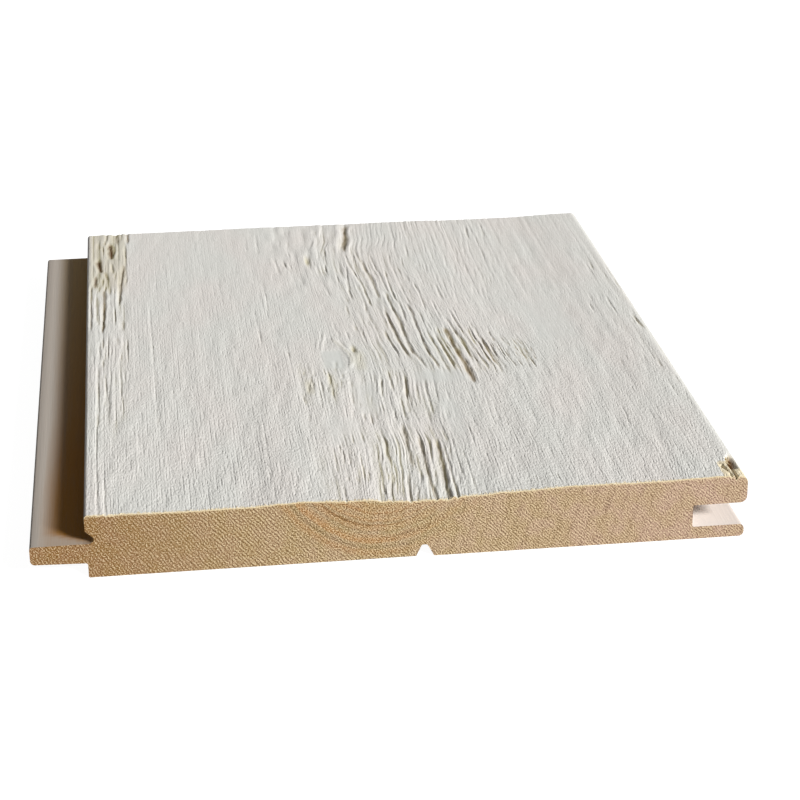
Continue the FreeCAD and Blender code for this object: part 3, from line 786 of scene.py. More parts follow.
def scratches(t, across, along, pitch, long, lane_shift):
    """Nodes for short straight scratches along the grain, in lanes that are pitch wide: 0 on the wood between them
    and 1 at the foot of each one's steep right wall. Each comes and goes over long millimetres."""
    place = add(t, "ShaderNodeMath", {0: across, 1: 1.0 / pitch, 2: 500.0 + lane_shift}, operation="MULTIPLY_ADD")
    lane = add(t, "ShaderNodeMath", {0: place.outputs[0]}, operation="FLOOR").outputs[0]
    inside = add(t, "ShaderNodeMath", {0: place.outputs[0]}, operation="FRACT").outputs[0]
    dice = add(t, "ShaderNodeTexWhiteNoise", {"W": lane}, noise_dimensions="1D").outputs["Value"]
    wall = add(t, "ShaderNodeMath", {0: dice, 1: 0.33, 2: 0.55}, operation="MULTIPLY_ADD").outputs[0]
    from_wall = add(t, "ShaderNodeMath", {0: inside, 1: wall}, operation="SUBTRACT").outputs[0]
    slope = add(t, "ShaderNodeMath", {0: from_wall, 1: 1.0 / 0.42, 2: 1.0}, operation="MULTIPLY_ADD").outputs[0]
    steep = add(t, "ShaderNodeMath", {0: from_wall, 1: -1.0 / 0.24, 2: 1.0}, operation="MULTIPLY_ADD").outputs[0]
    profile = add(t, "ShaderNodeMath", {0: slope, 1: steep}, operation="MINIMUM").outputs[0]
    profile = add(t, "ShaderNodeMath", {0: profile, 1: 0.0}, operation="MAXIMUM").outputs[0]
    own_line = add(t, "ShaderNodeMath", {0: lane, 1: 3.71}, operation="MULTIPLY").outputs[0]
    run = add(t, "ShaderNodeMath", {0: along, 1: 1.0 / long}, operation="MULTIPLY").outputs[0]
    where = add(t, "ShaderNodeCombineXYZ", {0: own_line, 1: run}).outputs[0]
    strength = add(t, "ShaderNodeTexNoise", {"Vector": where, "Scale": 1.0, "Detail": 0.0}).outputs["Fac"]
    strength = add(t, "ShaderNodeMapRange", {"Value": strength, "From Min": 0.45, "From Max": 0.66}).outputs[0]
    return add(t, "ShaderNodeMath", {0: profile, 1: strength}, operation="MULTIPLY").outputs[0]


def painted_face_material():
    # White wall paint brushed over wire-brushed softwood: matt, thin on the ridges, with the latewood standing up
    #     as fine streaks. Bare wood shows brown at the bottom of the torn grooves and cream on their walls; the hollows
    #     and the walls in shade are also coloured darker as painted shade.
    material, t = new_material("brushed_softwood_white_paint")
    flow = add(t, "ShaderNodeAttribute", attribute_name="grain_flow").outputs["Vector"]
    bare = add(t, "ShaderNodeAttribute", attribute_name="bare_wood_and_shade").outputs["Fac"]
    cream_and_shade = add(t, "ShaderNodeAttribute", attribute_name="cream_wood_and_shade").outputs["Fac"]
    painted_hollow_shade = add(t, "ShaderNodeAttribute", attribute_name="painted_hollow_shade").outputs["Fac"]
    fringe = add(t, "ShaderNodeAttribute", attribute_name="fringe").outputs["Fac"]

    along = add(t, "ShaderNodeSeparateXYZ", {0: flow}).outputs[1]
    grain = add(t, "ShaderNodeSeparateXYZ", {0: flow}).outputs[0]
    # Right of the middle the fibres lean 0.15 across for each millimetre along
    leaning = add(t, "ShaderNodeMath", {0: along, 1: -0.15, 2: grain}, operation="MULTIPLY_ADD").outputs[0]
    on_right = add(t, "ShaderNodeMapRange", {"Value": grain, "From Min": 40.0, "From Max": 62.0}).outputs[0]
    straight_fine = scratches(t, grain, along, 0.72, 2.3, 1.0)
    straight_long = scratches(t, grain, along, 1.25, 8.0, 7.0)
    leaning_fine = scratches(t, leaning, along, 0.72, 2.0, 3.0)
    fine = add(t, "ShaderNodeMix", {0: on_right, 2: straight_fine, 3: leaning_fine}, data_type="FLOAT").outputs[0]

    fibre_place = add(t, "ShaderNodeVectorMath", {0: flow, 1: (2.1, 0.30, 0.0)}, operation="MULTIPLY").outputs[0]
    fibres = add(t, "ShaderNodeTexNoise", {"Vector": fibre_place, "Scale": 1.0, "Detail": 2.0}).outputs["Fac"]
    dash_place = add(t, "ShaderNodeVectorMath", {0: flow, 1: (1.0, 0.14, 0.0)}, operation="MULTIPLY").outputs[0]
    dashes = add(t, "ShaderNodeTexNoise", {"Vector": dash_place, "Scale": 1.0, "Detail": 3.0}).outputs["Fac"]
    grit_place = add(t, "ShaderNodeVectorMath", {0: flow, 1: (1.7, 0.9, 0.0)}, operation="MULTIPLY").outputs[0]
    grit = add(t, "ShaderNodeTexNoise", {"Vector": grit_place, "Scale": 1.0, "Detail": 1.0}).outputs["Fac"]
    tone_place = add(t, "ShaderNodeVectorMath", {0: flow, 1: (0.06, 0.022, 0.0)}, operation="MULTIPLY").outputs[0]
    tone = add(t, "ShaderNodeTexNoise", {"Vector": tone_place, "Scale": 1.0, "Detail": 1.0}).outputs["Fac"]

    # Paint: a little warmer and cooler in broad patches, thinner in the streaks
    tone = add(t, "ShaderNodeMapRange", {"Value": tone, "From Min": 0.36, "From Max": 0.64}).outputs[0]
    paint = add(t, "ShaderNodeMix", {0: tone, MIX_A: hex_colour("D2CDC7"), MIX_B: hex_colour("CFCEC8")},
                data_type="RGBA").outputs[MIX_RESULT]
    streak = add(t, "ShaderNodeMapRange", {"Value": fibres, "From Min": 0.35, "From Max": 0.7, "To Max": 0.35})
    paint = add(t, "ShaderNodeMix", {0: streak.outputs[0], MIX_A: paint, MIX_B: hex_colour("E4E2DE")},
                data_type="RGBA").outputs[MIX_RESULT]
    # On the smooth patches it lies thicker, and looks cooler
    calm = add(t, "ShaderNodeAttribute", attribute_name="calm").outputs["Fac"]
    thick = add(t, "ShaderNodeMath", {0: calm, 1: 0.30}, operation="MULTIPLY").outputs[0]
    paint = add(t, "ShaderNodeMix", {0: thick, MIX_A: paint, MIX_B: hex_colour("C8CFCB")},
                data_type="RGBA").outputs[MIX_RESULT]
    # Painted shade: the paint is coloured darker and browner in the hollows and on the shaded right walls
    low = add(t, "ShaderNodeMapRange", {"Value": painted_hollow_shade, "From Min": 0.55, "From Max": 0.95, "To Max": 0.55}).outputs[0]
    paint = add(t, "ShaderNodeMix", {0: low, MIX_A: paint, MIX_B: hex_colour("C0B7A4")},
                data_type="RGBA").outputs[MIX_RESULT]
    # Cream bare wood, weighted onto the shaded right walls as partly painted shade
    paint = add(t, "ShaderNodeMix", {0: cream_and_shade, MIX_A: paint, MIX_B: hex_colour("B9B190")},
                data_type="RGBA").outputs[MIX_RESULT]

    # Bare wood: brown, streaked darker along the grain
    wood = add(t, "ShaderNodeMix", {0: dashes, MIX_A: hex_colour("6C5638"), MIX_B: hex_colour("A9936C")},
               data_type="RGBA").outputs[MIX_RESULT]
    # Painted shade: the bare wood is coloured darker still at the deepest places
    deep = add(t, "ShaderNodeMapRange", {"Value": painted_hollow_shade, "From Min": 0.85, "From Max": 1.0, "To Max": 0.85}).outputs[0]
    wood = add(t, "ShaderNodeMix", {0: deep, MIX_A: wood, MIX_B: hex_colour("4E3016")},
               data_type="RGBA").outputs[MIX_RESULT]
    broken = add(t, "ShaderNodeMath", {0: fibres, 1: 0.5}, operation="SUBTRACT").outputs[0]
    broken = add(t, "ShaderNodeMath", {0: broken, 1: 0.7, 2: bare}, operation="MULTIPLY_ADD").outputs[0]
    showing = add(t, "ShaderNodeMapRange", {"Value": broken, "From Min": 0.10, "From Max": 0.85}).outputs[0]
    colour = add(t, "ShaderNodeMix", {0: showing, MIX_A: paint, MIX_B: wood}, data_type="RGBA").outputs[MIX_RESULT]

    # Cream fibres frayed by the saw along both ends
    frayed = add(t, "ShaderNodeMath", {0: grit, 1: fringe}, operation="MULTIPLY").outputs[0]
    frayed = add(t, "ShaderNodeMapRange", {"Value": frayed, "From Min": 0.3, "From Max": 0.6}).outputs[0]
    colour = add(t, "ShaderNodeMix", {0: frayed, MIX_A: colour, MIX_B: hex_colour("E0D3B6")},
                 data_type="RGBA").outputs[MIX_RESULT]

    # Relief in millimetres: scratches 0.07 mm deep, longer ones 0.08 mm deep and grit 0.20 mm high
    height = add(t, "ShaderNodeMath", {0: grit, 1: 0.20}, operation="MULTIPLY").outputs[0]
    height = add(t, "ShaderNodeMath", {0: fine, 1: -0.07, 2: height}, operation="MULTIPLY_ADD").outputs[0]
    height = add(t, "ShaderNodeMath", {0: straight_long, 1: -0.08, 2: height}, operation="MULTIPLY_ADD").outputs[0]
    height = add(t, "ShaderNodeMath", {0: fibres, 1: 0.10, 2: height}, operation="MULTIPLY_ADD").outputs[0]
    # The brush bit deeper towards the front
    bite = add(t, "ShaderNodeMapRange", {"Value": along, "From Min": 116.0, "From Max": -116.0}).outputs[0]
    bend = add(t, "ShaderNodeMath", {0: on_right, 1: 0.9, 2: 1.0}, operation="MULTIPLY_ADD").outputs[0]
    bite = add(t, "ShaderNodeMath", {0: bite, 1: bend}, operation="POWER").outputs[0]
    bite = add(t, "ShaderNodeMath", {0: bite, 1: 0.98, 2: 0.27}, operation="MULTIPLY_ADD").outputs[0]
    height = add(t, "ShaderNodeMath", {0: height, 1: bite}, operation="MULTIPLY").outputs[0]
    # and hardly at all on the patches that it left smooth
    calm = add(t, "ShaderNodeMath", {0: calm, 1: -0.9, 2: 1.0}, operation="MULTIPLY_ADD").outputs[0]
    height = add(t, "ShaderNodeMath", {0: height, 1: calm}, operation="MULTIPLY").outputs[0]
    bump = add(t, "ShaderNodeBump", {"Height": height, "Distance": MM, "Strength": 1.0}).outputs[0]
    rough = add(t, "ShaderNodeMapRange", {"Value": showing, "To Min": 0.85, "To Max": 0.95}).outputs[0]
    finish(t, colour, rough, bump, 0.12)
    return material


def finish(t, colour, roughness, bump, gloss):
    """Ends a material in one shader and its output."""
    shader = add(t, "ShaderNodeBsdfPrincipled", {
        "Base Color": colour, "Roughness": roughness, "Normal": bump, "Specular IOR Level": gloss, "IOR": 1.45,
    })
    add(t, "ShaderNodeOutputMaterial", {"Surface": shader.outputs[0]})


def near(t, value, middle, half):
    """Nodes that give 1 where value is at middle, falling to 0 at half to either side of it."""
    off = add(t, "ShaderNodeMath", {0: value, 1: middle}, operation="SUBTRACT").outputs[0]
    off = add(t, "ShaderNodeMath", {0: off}, operation="ABSOLUTE").outputs[0]
    return add(t, "ShaderNodeMapRange", {"Value": off, "From Min": half, "From Max": 0.0}).outputs[0]


def planed_wood_material():
    # Planed softwood, not painted but dusted by overspray on the tongue and in the groove: straw brown with fine
    #     straight grain, and a thin greyish white film where the paint has reached. On the tongue the film is partly
    #     painted light, laid where light falls, and the tongue's top carries painted shade.
    material, t = new_material("planed_softwood_with_overspray")
    place = add(t, "ShaderNodeTexCoord").outputs["Object"]
    spray_and_painted_light = add(t, "ShaderNodeAttribute", attribute_name="overspray_and_painted_light").outputs["Fac"]
    # Growth rings cut lengthwise: bands about 2.5 mm apart that run the length of the board
    band_place = add(t, "ShaderNodeVectorMath", {0: place, 1: (400.0, 7.0, 400.0)}, operation="MULTIPLY").outputs[0]
    bands = add(t, "ShaderNodeTexNoise", {"Vector": band_place, "Scale": 1.0, "Detail": 2.0}).outputs["Fac"]
    hair_place = add(t, "ShaderNodeVectorMath", {0: place, 1: (2200.0, 60.0, 2200.0)}, operation="MULTIPLY").outputs[0]
    hairs = add(t, "ShaderNodeTexNoise", {"Vector": hair_place, "Scale": 1.0, "Detail": 2.0}).outputs["Fac"]
    late = add(t, "ShaderNodeMapRange", {"Value": bands, "From Min": 0.35, "From Max": 0.68}).outputs[0]
    wood = add(t, "ShaderNodeMix", {0: late, MIX_A: hex_colour("B6996C"), MIX_B: hex_colour("9A7D54")},
               data_type="RGBA").outputs[MIX_RESULT]
    # Painted shade: the top of the tongue, where the face casts its shadow, is coloured dark brown, most of all towards
    # the front
    split = add(t, "ShaderNodeSeparateXYZ", {0: place})
    shade_towards_front = add(t, "ShaderNodeMapRange", {"Value": split.outputs[1], "From Min": 0.10, "From Max": -0.06}).outputs[0]
    painted_shade_brown = add(t, "ShaderNodeMix", {0: shade_towards_front, MIX_A: hex_colour("A08458"), MIX_B: hex_colour("875C1E")},
                  data_type="RGBA").outputs[MIX_RESULT]
    on_tongue = add(t, "ShaderNodeMapRange", {"Value": split.outputs[0], "From Min": -0.0775, "From Max": -0.0795}).outputs[0]
    upper = add(t, "ShaderNodeMapRange", {"Value": split.outputs[2], "From Min": 0.0055, "From Max": 0.0085}).outputs[0]
    painted_shade_on_tongue = add(t, "ShaderNodeMath", {0: on_tongue, 1: upper}, operation="MULTIPLY").outputs[0]
    wood = add(t, "ShaderNodeMix", {0: painted_shade_on_tongue, MIX_A: wood, MIX_B: painted_shade_brown}, data_type="RGBA").outputs[MIX_RESULT]
    dark = add(t, "ShaderNodeMapRange", {"Value": hairs, "From Min": 0.5, "From Max": 0.8, "To Max": 0.3}).outputs[0]
    wood = add(t, "ShaderNodeMix", {0: dark, MIX_A: wood, MIX_B: hex_colour("5E4218")},
               data_type="RGBA").outputs[MIX_RESULT]
    film = add(t, "ShaderNodeMath", {0: hairs, 1: 0.16, 2: spray_and_painted_light}, operation="MULTIPLY_ADD").outputs[0]
    film = add(t, "ShaderNodeMapRange", {"Value": film, "From Min": 0.08, "From Max": 0.9}).outputs[0]
    in_groove = add(t, "ShaderNodeMath", {0: split.outputs[0], 1: 0.0}, operation="GREATER_THAN").outputs[0]
    white = add(t, "ShaderNodeMix", {0: in_groove, MIX_A: hex_colour("ABA298"), MIX_B: hex_colour("D9CFC7")},
                data_type="RGBA").outputs[MIX_RESULT]
    colour = add(t, "ShaderNodeMix", {0: film, MIX_A: wood, MIX_B: white}, data_type="RGBA").outputs[MIX_RESULT]
    bump = add(t, "ShaderNodeBump", {"Height": hairs, "Distance": 0.05 * MM, "Strength": 1.0}).outputs[0]
    rough = add(t, "ShaderNodeMapRange", {"Value": film, "To Min": 0.7, "To Max": 0.8}).outputs[0]
    finish(t, colour, rough, bump, 0.08)
    return material


PITH = (-3.0, 31.5)
# How far the darkest ring and the row of pores lie from the pith, in millimetres
DARK_RING = 23.2
PORE_RING = 26.7
SAW_CENTRE = (183.0, 190.0)


def sawn_end_material():
    # Softwood cut across the grain by a circular saw: rings curved round a pith that lies above the board, slanting
    # saw scores, open fibre ends as speckle, and a pale frayed line under the paint.
    material, t = new_material("sawn_softwood_end_grain")
    place = add(t, "ShaderNodeTexCoord").outputs["Object"]
    fringe = add(t, "ShaderNodeAttribute", attribute_name="fringe").outputs["Fac"]
    millimetres = add(t, "ShaderNodeVectorMath", {0: place, 1: (1000.0, 0.0, 1000.0)}, operation="MULTIPLY").outputs[0]
    split = add(t, "ShaderNodeSeparateXYZ", {0: millimetres})
    across = split.outputs[0]

    bend = add(t, "ShaderNodeTexNoise", {"Vector": millimetres, "Scale": 0.09, "Detail": 2.0}).outputs["Fac"]
    from_pith = add(t, "ShaderNodeVectorMath", {0: millimetres, 1: (PITH[0], 0.0, PITH[1])}, operation="SUBTRACT")
    reach = add(t, "ShaderNodeVectorMath", {0: from_pith.outputs[0]}, operation="LENGTH").outputs["Value"]
    reach = add(t, "ShaderNodeMath", {0: bend, 1: 2.6, 2: reach}, operation="MULTIPLY_ADD").outputs[0]
    # Near the pith the rings are uneven bands about 4 mm apart, with finer dark lines about 2 mm apart
    bands = add(t, "ShaderNodeMath", {0: reach, 1: 0.5}, operation="MULTIPLY").outputs[0]
    bands = add(t, "ShaderNodeTexNoise", {"W": bands, "Scale": 1.0, "Detail": 1.0}, noise_dimensions="1D").outputs["Fac"]
    late_wood = add(t, "ShaderNodeMapRange", {"Value": bands, "From Min": 0.36, "From Max": 0.64}).outputs[0]
    inner = add(t, "ShaderNodeMath", {0: reach, 1: 1.15}, operation="MULTIPLY").outputs[0]
    inner = add(t, "ShaderNodeTexNoise", {"W": inner, "Scale": 1.0, "Detail": 1.0}, noise_dimensions="1D").outputs["Fac"]
    inner = add(t, "ShaderNodeMapRange", {"Value": inner, "From Min": 0.46, "From Max": 0.28}).outputs[0]
    # One ring is much darker than the others, left of the middle, and a row of pores follows the ring outside it
    dark_ring = add(t, "ShaderNodeMath", {
        0: near(t, reach, DARK_RING, 0.34), 1: near(t, across, -13.0, 8.0),
    }, operation="MULTIPLY").outputs[0]
    pore_row = add(t, "ShaderNodeMath", {
        0: near(t, reach, PORE_RING, 0.8), 1: near(t, across, 5.0, 9.0),
    }, operation="MULTIPLY").outputs[0]
    # Scores of the circular saw, 0.8 mm apart, in arcs round a centre far to the upper right
    outer = add(t, "ShaderNodeVectorMath", {0: millimetres, 1: (SAW_CENTRE[0], 0.0, SAW_CENTRE[1])},
                operation="DISTANCE").outputs["Value"]
    uneven = add(t, "ShaderNodeTexNoise", {"Vector": millimetres, "Scale": 0.28, "Detail": 2.0}).outputs["Fac"]
    outer = add(t, "ShaderNodeMath", {0: uneven, 1: 1.7, 2: outer}, operation="MULTIPLY_ADD").outputs[0]
    outer = add(t, "ShaderNodeMath", {0: outer, 1: 2.0 * math.pi / 0.82}, operation="MULTIPLY").outputs[0]
    outer = add(t, "ShaderNodeMath", {0: outer}, operation="SINE").outputs[0]
    outer = add(t, "ShaderNodeMapRange", {"Value": outer, "From Min": -0.2, "From Max": 0.9}).outputs[0]
    far = add(t, "ShaderNodeMapRange", {"Value": reach, "From Min": 29.0, "From Max": 34.0}).outputs[0]
    # The close rings show best between the left side and the middle
    left_rings = add(t, "ShaderNodeMapRange", {"Value": across, "From Min": -82.0, "From Max": -40.0, "To Min": 0.45,
                                               "To Max": 1.0}).outputs[0]
    right_rings = add(t, "ShaderNodeMapRange", {"Value": across, "From Min": -4.0, "From Max": 14.0, "To Min": 1.0,
                                                "To Max": 0.28}).outputs[0]
    shown = add(t, "ShaderNodeMath", {0: left_rings, 1: right_rings}, operation="MULTIPLY").outputs[0]

    # Marks of the saw's teeth: a fine set that falls to the right, and steep thin strokes 3.8 mm apart that cross
    # it. The fine ones are 0.3 mm apart, too fine to show, so they are drawn 0.68 mm apart.
    jitter = add(t, "ShaderNodeTexNoise", {"Vector": millimetres, "Scale": 0.35, "Detail": 2.0}).outputs["Fac"]
    falling = add(t, "ShaderNodeVectorMath", {0: millimetres, 1: (0.75, 0.0, 0.66)}, operation="DOT_PRODUCT")
    falling = add(t, "ShaderNodeMath", {0: jitter, 1: 1.8, 2: falling.outputs["Value"]}, operation="MULTIPLY_ADD")
    falling = add(t, "ShaderNodeMath", {0: falling.outputs[0], 1: 2.0 * math.pi / 0.68}, operation="MULTIPLY")
    falling = add(t, "ShaderNodeMath", {0: falling.outputs[0]}, operation="SINE").outputs[0]
    strokes = add(t, "ShaderNodeVectorMath", {0: millimetres, 1: (0.96, 0.0, -0.28)}, operation="DOT_PRODUCT")
    strokes = add(t, "ShaderNodeMath", {0: jitter, 1: 5.0, 2: strokes.outputs["Value"]}, operation="MULTIPLY_ADD")
    strokes = add(t, "ShaderNodeMath", {0: strokes.outputs[0], 1: 2.0 * math.pi / 3.8}, operation="MULTIPLY")
    strokes = add(t, "ShaderNodeMath", {0: strokes.outputs[0]}, operation="SINE").outputs[0]
    strokes = add(t, "ShaderNodeMapRange", {"Value": strokes, "From Min": 0.86, "From Max": 1.0}).outputs[0]
    teeth = add(t, "ShaderNodeMath", {0: strokes, 1: -0.75, 2: falling}, operation="MULTIPLY_ADD").outputs[0]
    crossing = add(t, "ShaderNodeMapRange", {"Value": across, "From Min": -30.0, "From Max": 30.0, "To Min": 0.25,
                                             "To Max": 1.0}).outputs[0]
    teeth = add(t, "ShaderNodeMath", {0: teeth, 1: crossing}, operation="MULTIPLY").outputs[0]
    # Open ends of the fibres: a speckle of dark pores and pale tufts. The pores are 0.05 mm wide, too fine to show,
    # so they are drawn 0.4 mm wide.
    specks = add(t, "ShaderNodeTexNoise", {"Vector": millimetres, "Scale": 3.0, "Detail": 1.0}).outputs["Fac"]
    tufts = add(t, "ShaderNodeTexNoise", {"Vector": millimetres, "Scale": 0.9, "Detail": 2.0}).outputs["Fac"]

    # Painted light: the end is coloured darker and browner at the left and paler and pinker to the right, as the     light fell across it
    painted_light_to_centre = add(t, "ShaderNodeMapRange", {"Value": across, "From Min": -85.0, "From Max": 5.0}).outputs[0]
    painted_light_to_right = add(t, "ShaderNodeMapRange", {"Value": across, "From Min": 5.0, "From Max": 90.0}).outputs[0]
    base = add(t, "ShaderNodeMix", {0: painted_light_to_centre, MIX_A: hex_colour("7A5529"), MIX_B: hex_colour("9C8B6A")},
               data_type="RGBA").outputs[MIX_RESULT]
    base = add(t, "ShaderNodeMix", {0: painted_light_to_right, MIX_A: base, MIX_B: hex_colour("AF9787")},
               data_type="RGBA").outputs[MIX_RESULT]
    # Golden and pinkish patches, about 6 mm across
    blush = add(t, "ShaderNodeTexNoise", {"Vector": millimetres, "Scale": 0.17, "Detail": 2.0}).outputs["Fac"]
    blush = add(t, "ShaderNodeMapRange", {"Value": blush, "From Min": 0.40, "From Max": 0.60}).outputs[0]
    blush = add(t, "ShaderNodeMix", {0: blush, MIX_A: hex_colour("A07C42"), MIX_B: hex_colour("B08670")},
                data_type="RGBA").outputs[MIX_RESULT]
    amount = add(t, "ShaderNodeMapRange", {"Value": across, "From Min": -60.0, "From Max": 10.0, "To Min": 0.12,
                                           "To Max": 0.34}).outputs[0]
    base = add(t, "ShaderNodeMix", {0: amount, MIX_A: base, MIX_B: blush}, data_type="RGBA").outputs[MIX_RESULT]
    # Near the pith each ring goes from greyish spring wood to orange-brown summer wood
    near_pith = add(t, "ShaderNodeMath", {0: 1.0, 1: far}, operation="SUBTRACT").outputs[0]
    orange = add(t, "ShaderNodeMath", {0: late_wood, 1: near_pith}, operation="MULTIPLY").outputs[0]
    orange = add(t, "ShaderNodeMath", {0: orange, 1: shown}, operation="MULTIPLY").outputs[0]
    orange = add(t, "ShaderNodeMath", {0: orange, 1: 0.62}, operation="MULTIPLY").outputs[0]
    base = add(t, "ShaderNodeMix", {0: orange, MIX_A: base, MIX_B: hex_colour("A87744")},
               data_type="RGBA").outputs[MIX_RESULT]
    # Dark and pale both follow the rings, the teeth and the speckle, added together
    grain = add(t, "ShaderNodeMath", {0: specks, 1: 0.5}, operation="SUBTRACT").outputs[0]
    grain = add(t, "ShaderNodeMath", {0: grain, 1: 6.2}, operation="MULTIPLY").outputs[0]
    grain = add(t, "ShaderNodeMath", {0: teeth, 1: 0.50, 2: grain}, operation="MULTIPLY_ADD").outputs[0]
    grain = add(t, "ShaderNodeMath", {0: dark_ring, 1: -1.1, 2: grain}, operation="MULTIPLY_ADD").outputs[0]
    middle = add(t, "ShaderNodeMath", {0: near(t, across, 4.0, 60.0), 1: 0.5, 2: 1.0}, operation="MULTIPLY_ADD")
    grain = add(t, "ShaderNodeMath", {0: grain, 1: middle.outputs[0]}, operation="MULTIPLY").outputs[0]
    pores = add(t, "ShaderNodeMapRange", {"Value": specks, "From Min": 0.52, "From Max": 0.44}).outputs[0]
    pores = add(t, "ShaderNodeMath", {0: pores, 1: pore_row}, operation="MULTIPLY").outputs[0]
    grain = add(t, "ShaderNodeMath", {0: pores, 1: -2.2, 2: grain}, operation="MULTIPLY_ADD").outputs[0]
    outer_part = add(t, "ShaderNodeMath", {0: outer, 1: 0.42}, operation="SUBTRACT").outputs[0]
    outer_part = add(t, "ShaderNodeMath", {0: outer_part, 1: far}, operation="MULTIPLY").outputs[0]
    outer_part = add(t, "ShaderNodeMath", {0: outer_part, 1: shown}, operation="MULTIPLY").outputs[0]
    # They come and go along their length
    patchy = add(t, "ShaderNodeMapRange", {"Value": tufts, "From Min": 0.38, "From Max": 0.62, "To Min": 0.35,
                                           "To Max": 1.3}).outputs[0]
    outer_part = add(t, "ShaderNodeMath", {0: outer_part, 1: patchy}, operation="MULTIPLY").outputs[0]
    grain = add(t, "ShaderNodeMath", {0: outer_part, 1: -1.35, 2: grain}, operation="MULTIPLY_ADD").outputs[0]
    inner_part = add(t, "ShaderNodeMath", {0: inner, 1: near_pith}, operation="MULTIPLY").outputs[0]
    inner_part = add(t, "ShaderNodeMath", {0: inner_part, 1: shown}, operation="MULTIPLY").outputs[0]
    grain = add(t, "ShaderNodeMath", {0: inner_part, 1: -0.42, 2: grain}, operation="MULTIPLY_ADD").outputs[0]
    dark = add(t, "ShaderNodeMapRange", {"Value": grain, "From Min": 0.0, "From Max": -1.3, "To Max": 0.78}).outputs[0]
    base = add(t, "ShaderNodeMix", {0: dark, MIX_A: base, MIX_B: hex_colour("4E381C")},
               data_type="RGBA").outputs[MIX_RESULT]
    pale = add(t, "ShaderNodeMapRange", {"Value": grain, "From Min": 0.0, "From Max": 1.3, "To Max": 0.72}).outputs[0]
    colour = add(t, "ShaderNodeMix", {0: pale, MIX_A: base, MIX_B: hex_colour("DFCBA6")},
                 data_type="RGBA").outputs[MIX_RESULT]
    frayed = add(t, "ShaderNodeMath", {0: specks, 1: 0.8, 2: fringe}, operation="MULTIPLY_ADD").outputs[0]
    frayed = add(t, "ShaderNodeMapRange", {"Value": frayed, "From Min": 0.7, "From Max": 1.15, "To Max": 0.85})
    colour = add(t, "ShaderNodeMix", {0: frayed.outputs[0], MIX_A: colour, MIX_B: hex_colour("D8C7A2")},
                 data_type="RGBA").outputs[MIX_RESULT]

    height = add(t, "ShaderNodeMath", {0: teeth, 1: 0.10, 2: tufts}, operation="MULTIPLY_ADD").outputs[0]
    bump = add(t, "ShaderNodeBump", {"Height": height, "Distance": 0.08 * MM, "Strength": 1.0}).outputs[0]
    finish(t, colour, 0.85, bump, 0.2)
    return material


def make_board():
    points, faces, kinds, values, flows, arris = board_mesh()
    mesh = bpy.data.meshes.new("brushed_board")
    mesh.from_pydata((points * MM).tolist(), [], faces)
    mesh.polygons.foreach_set("material_index", kinds)
    for name, value in values.items():
        layer = mesh.attributes.new(name, "FLOAT", "POINT")
        layer.data.foreach_set("value", value.astype(np.float32))
    layer = mesh.attributes.new("grain_flow", "FLOAT_VECTOR", "POINT")
    layer.data.foreach_set("vector", flows.astype(np.float32).reshape(-1))
    mesh.shade_smooth()
    mesh.set_sharp_from_angle(angle=math.radians(42.0))
    for material in (painted_face_material(), planed_wood_material(), sawn_end_material()):
        mesh.materials.append(material)
    mesh.update()
    board = bpy.data.objects.new("brushed_board", mesh)
    bpy.context.scene.collection.objects.link(board)
    return board, arris


def torn_fibre_material():
    # Torn softwood, never painted: straight-grained cream splinters, matt, with a darker streak here and there.
    material, t = new_material("torn_softwood_fibres")
    place = add(t, "ShaderNodeTexCoord").outputs["Object"]
    # Streaks 0.4 mm wide and 4 mm long
    place = add(t, "ShaderNodeVectorMath", {0: place, 1: (2500.0, 250.0, 2500.0)}, operation="MULTIPLY").outputs[0]
    streaks = add(t, "ShaderNodeTexNoise", {"Vector": place, "Scale": 1.0, "Detail": 1.0}).outputs["Fac"]
    shade = add(t, "ShaderNodeMapRange", {"Value": streaks, "From Min": 0.35, "From Max": 0.65}).outputs[0]
    colour = add(t, "ShaderNodeMix", {0: shade, MIX_A: hex_colour("C9B284"), MIX_B: hex_colour("EAE0C4")},
                 data_type="RGBA").outputs[MIX_RESULT]
    bump = add(t, "ShaderNodeBump", {"Height": streaks, "Distance": 0.04 * MM, "Strength": 1.0}).outputs[0]
    finish(t, colour, 0.8, bump, 0.2)
    return material


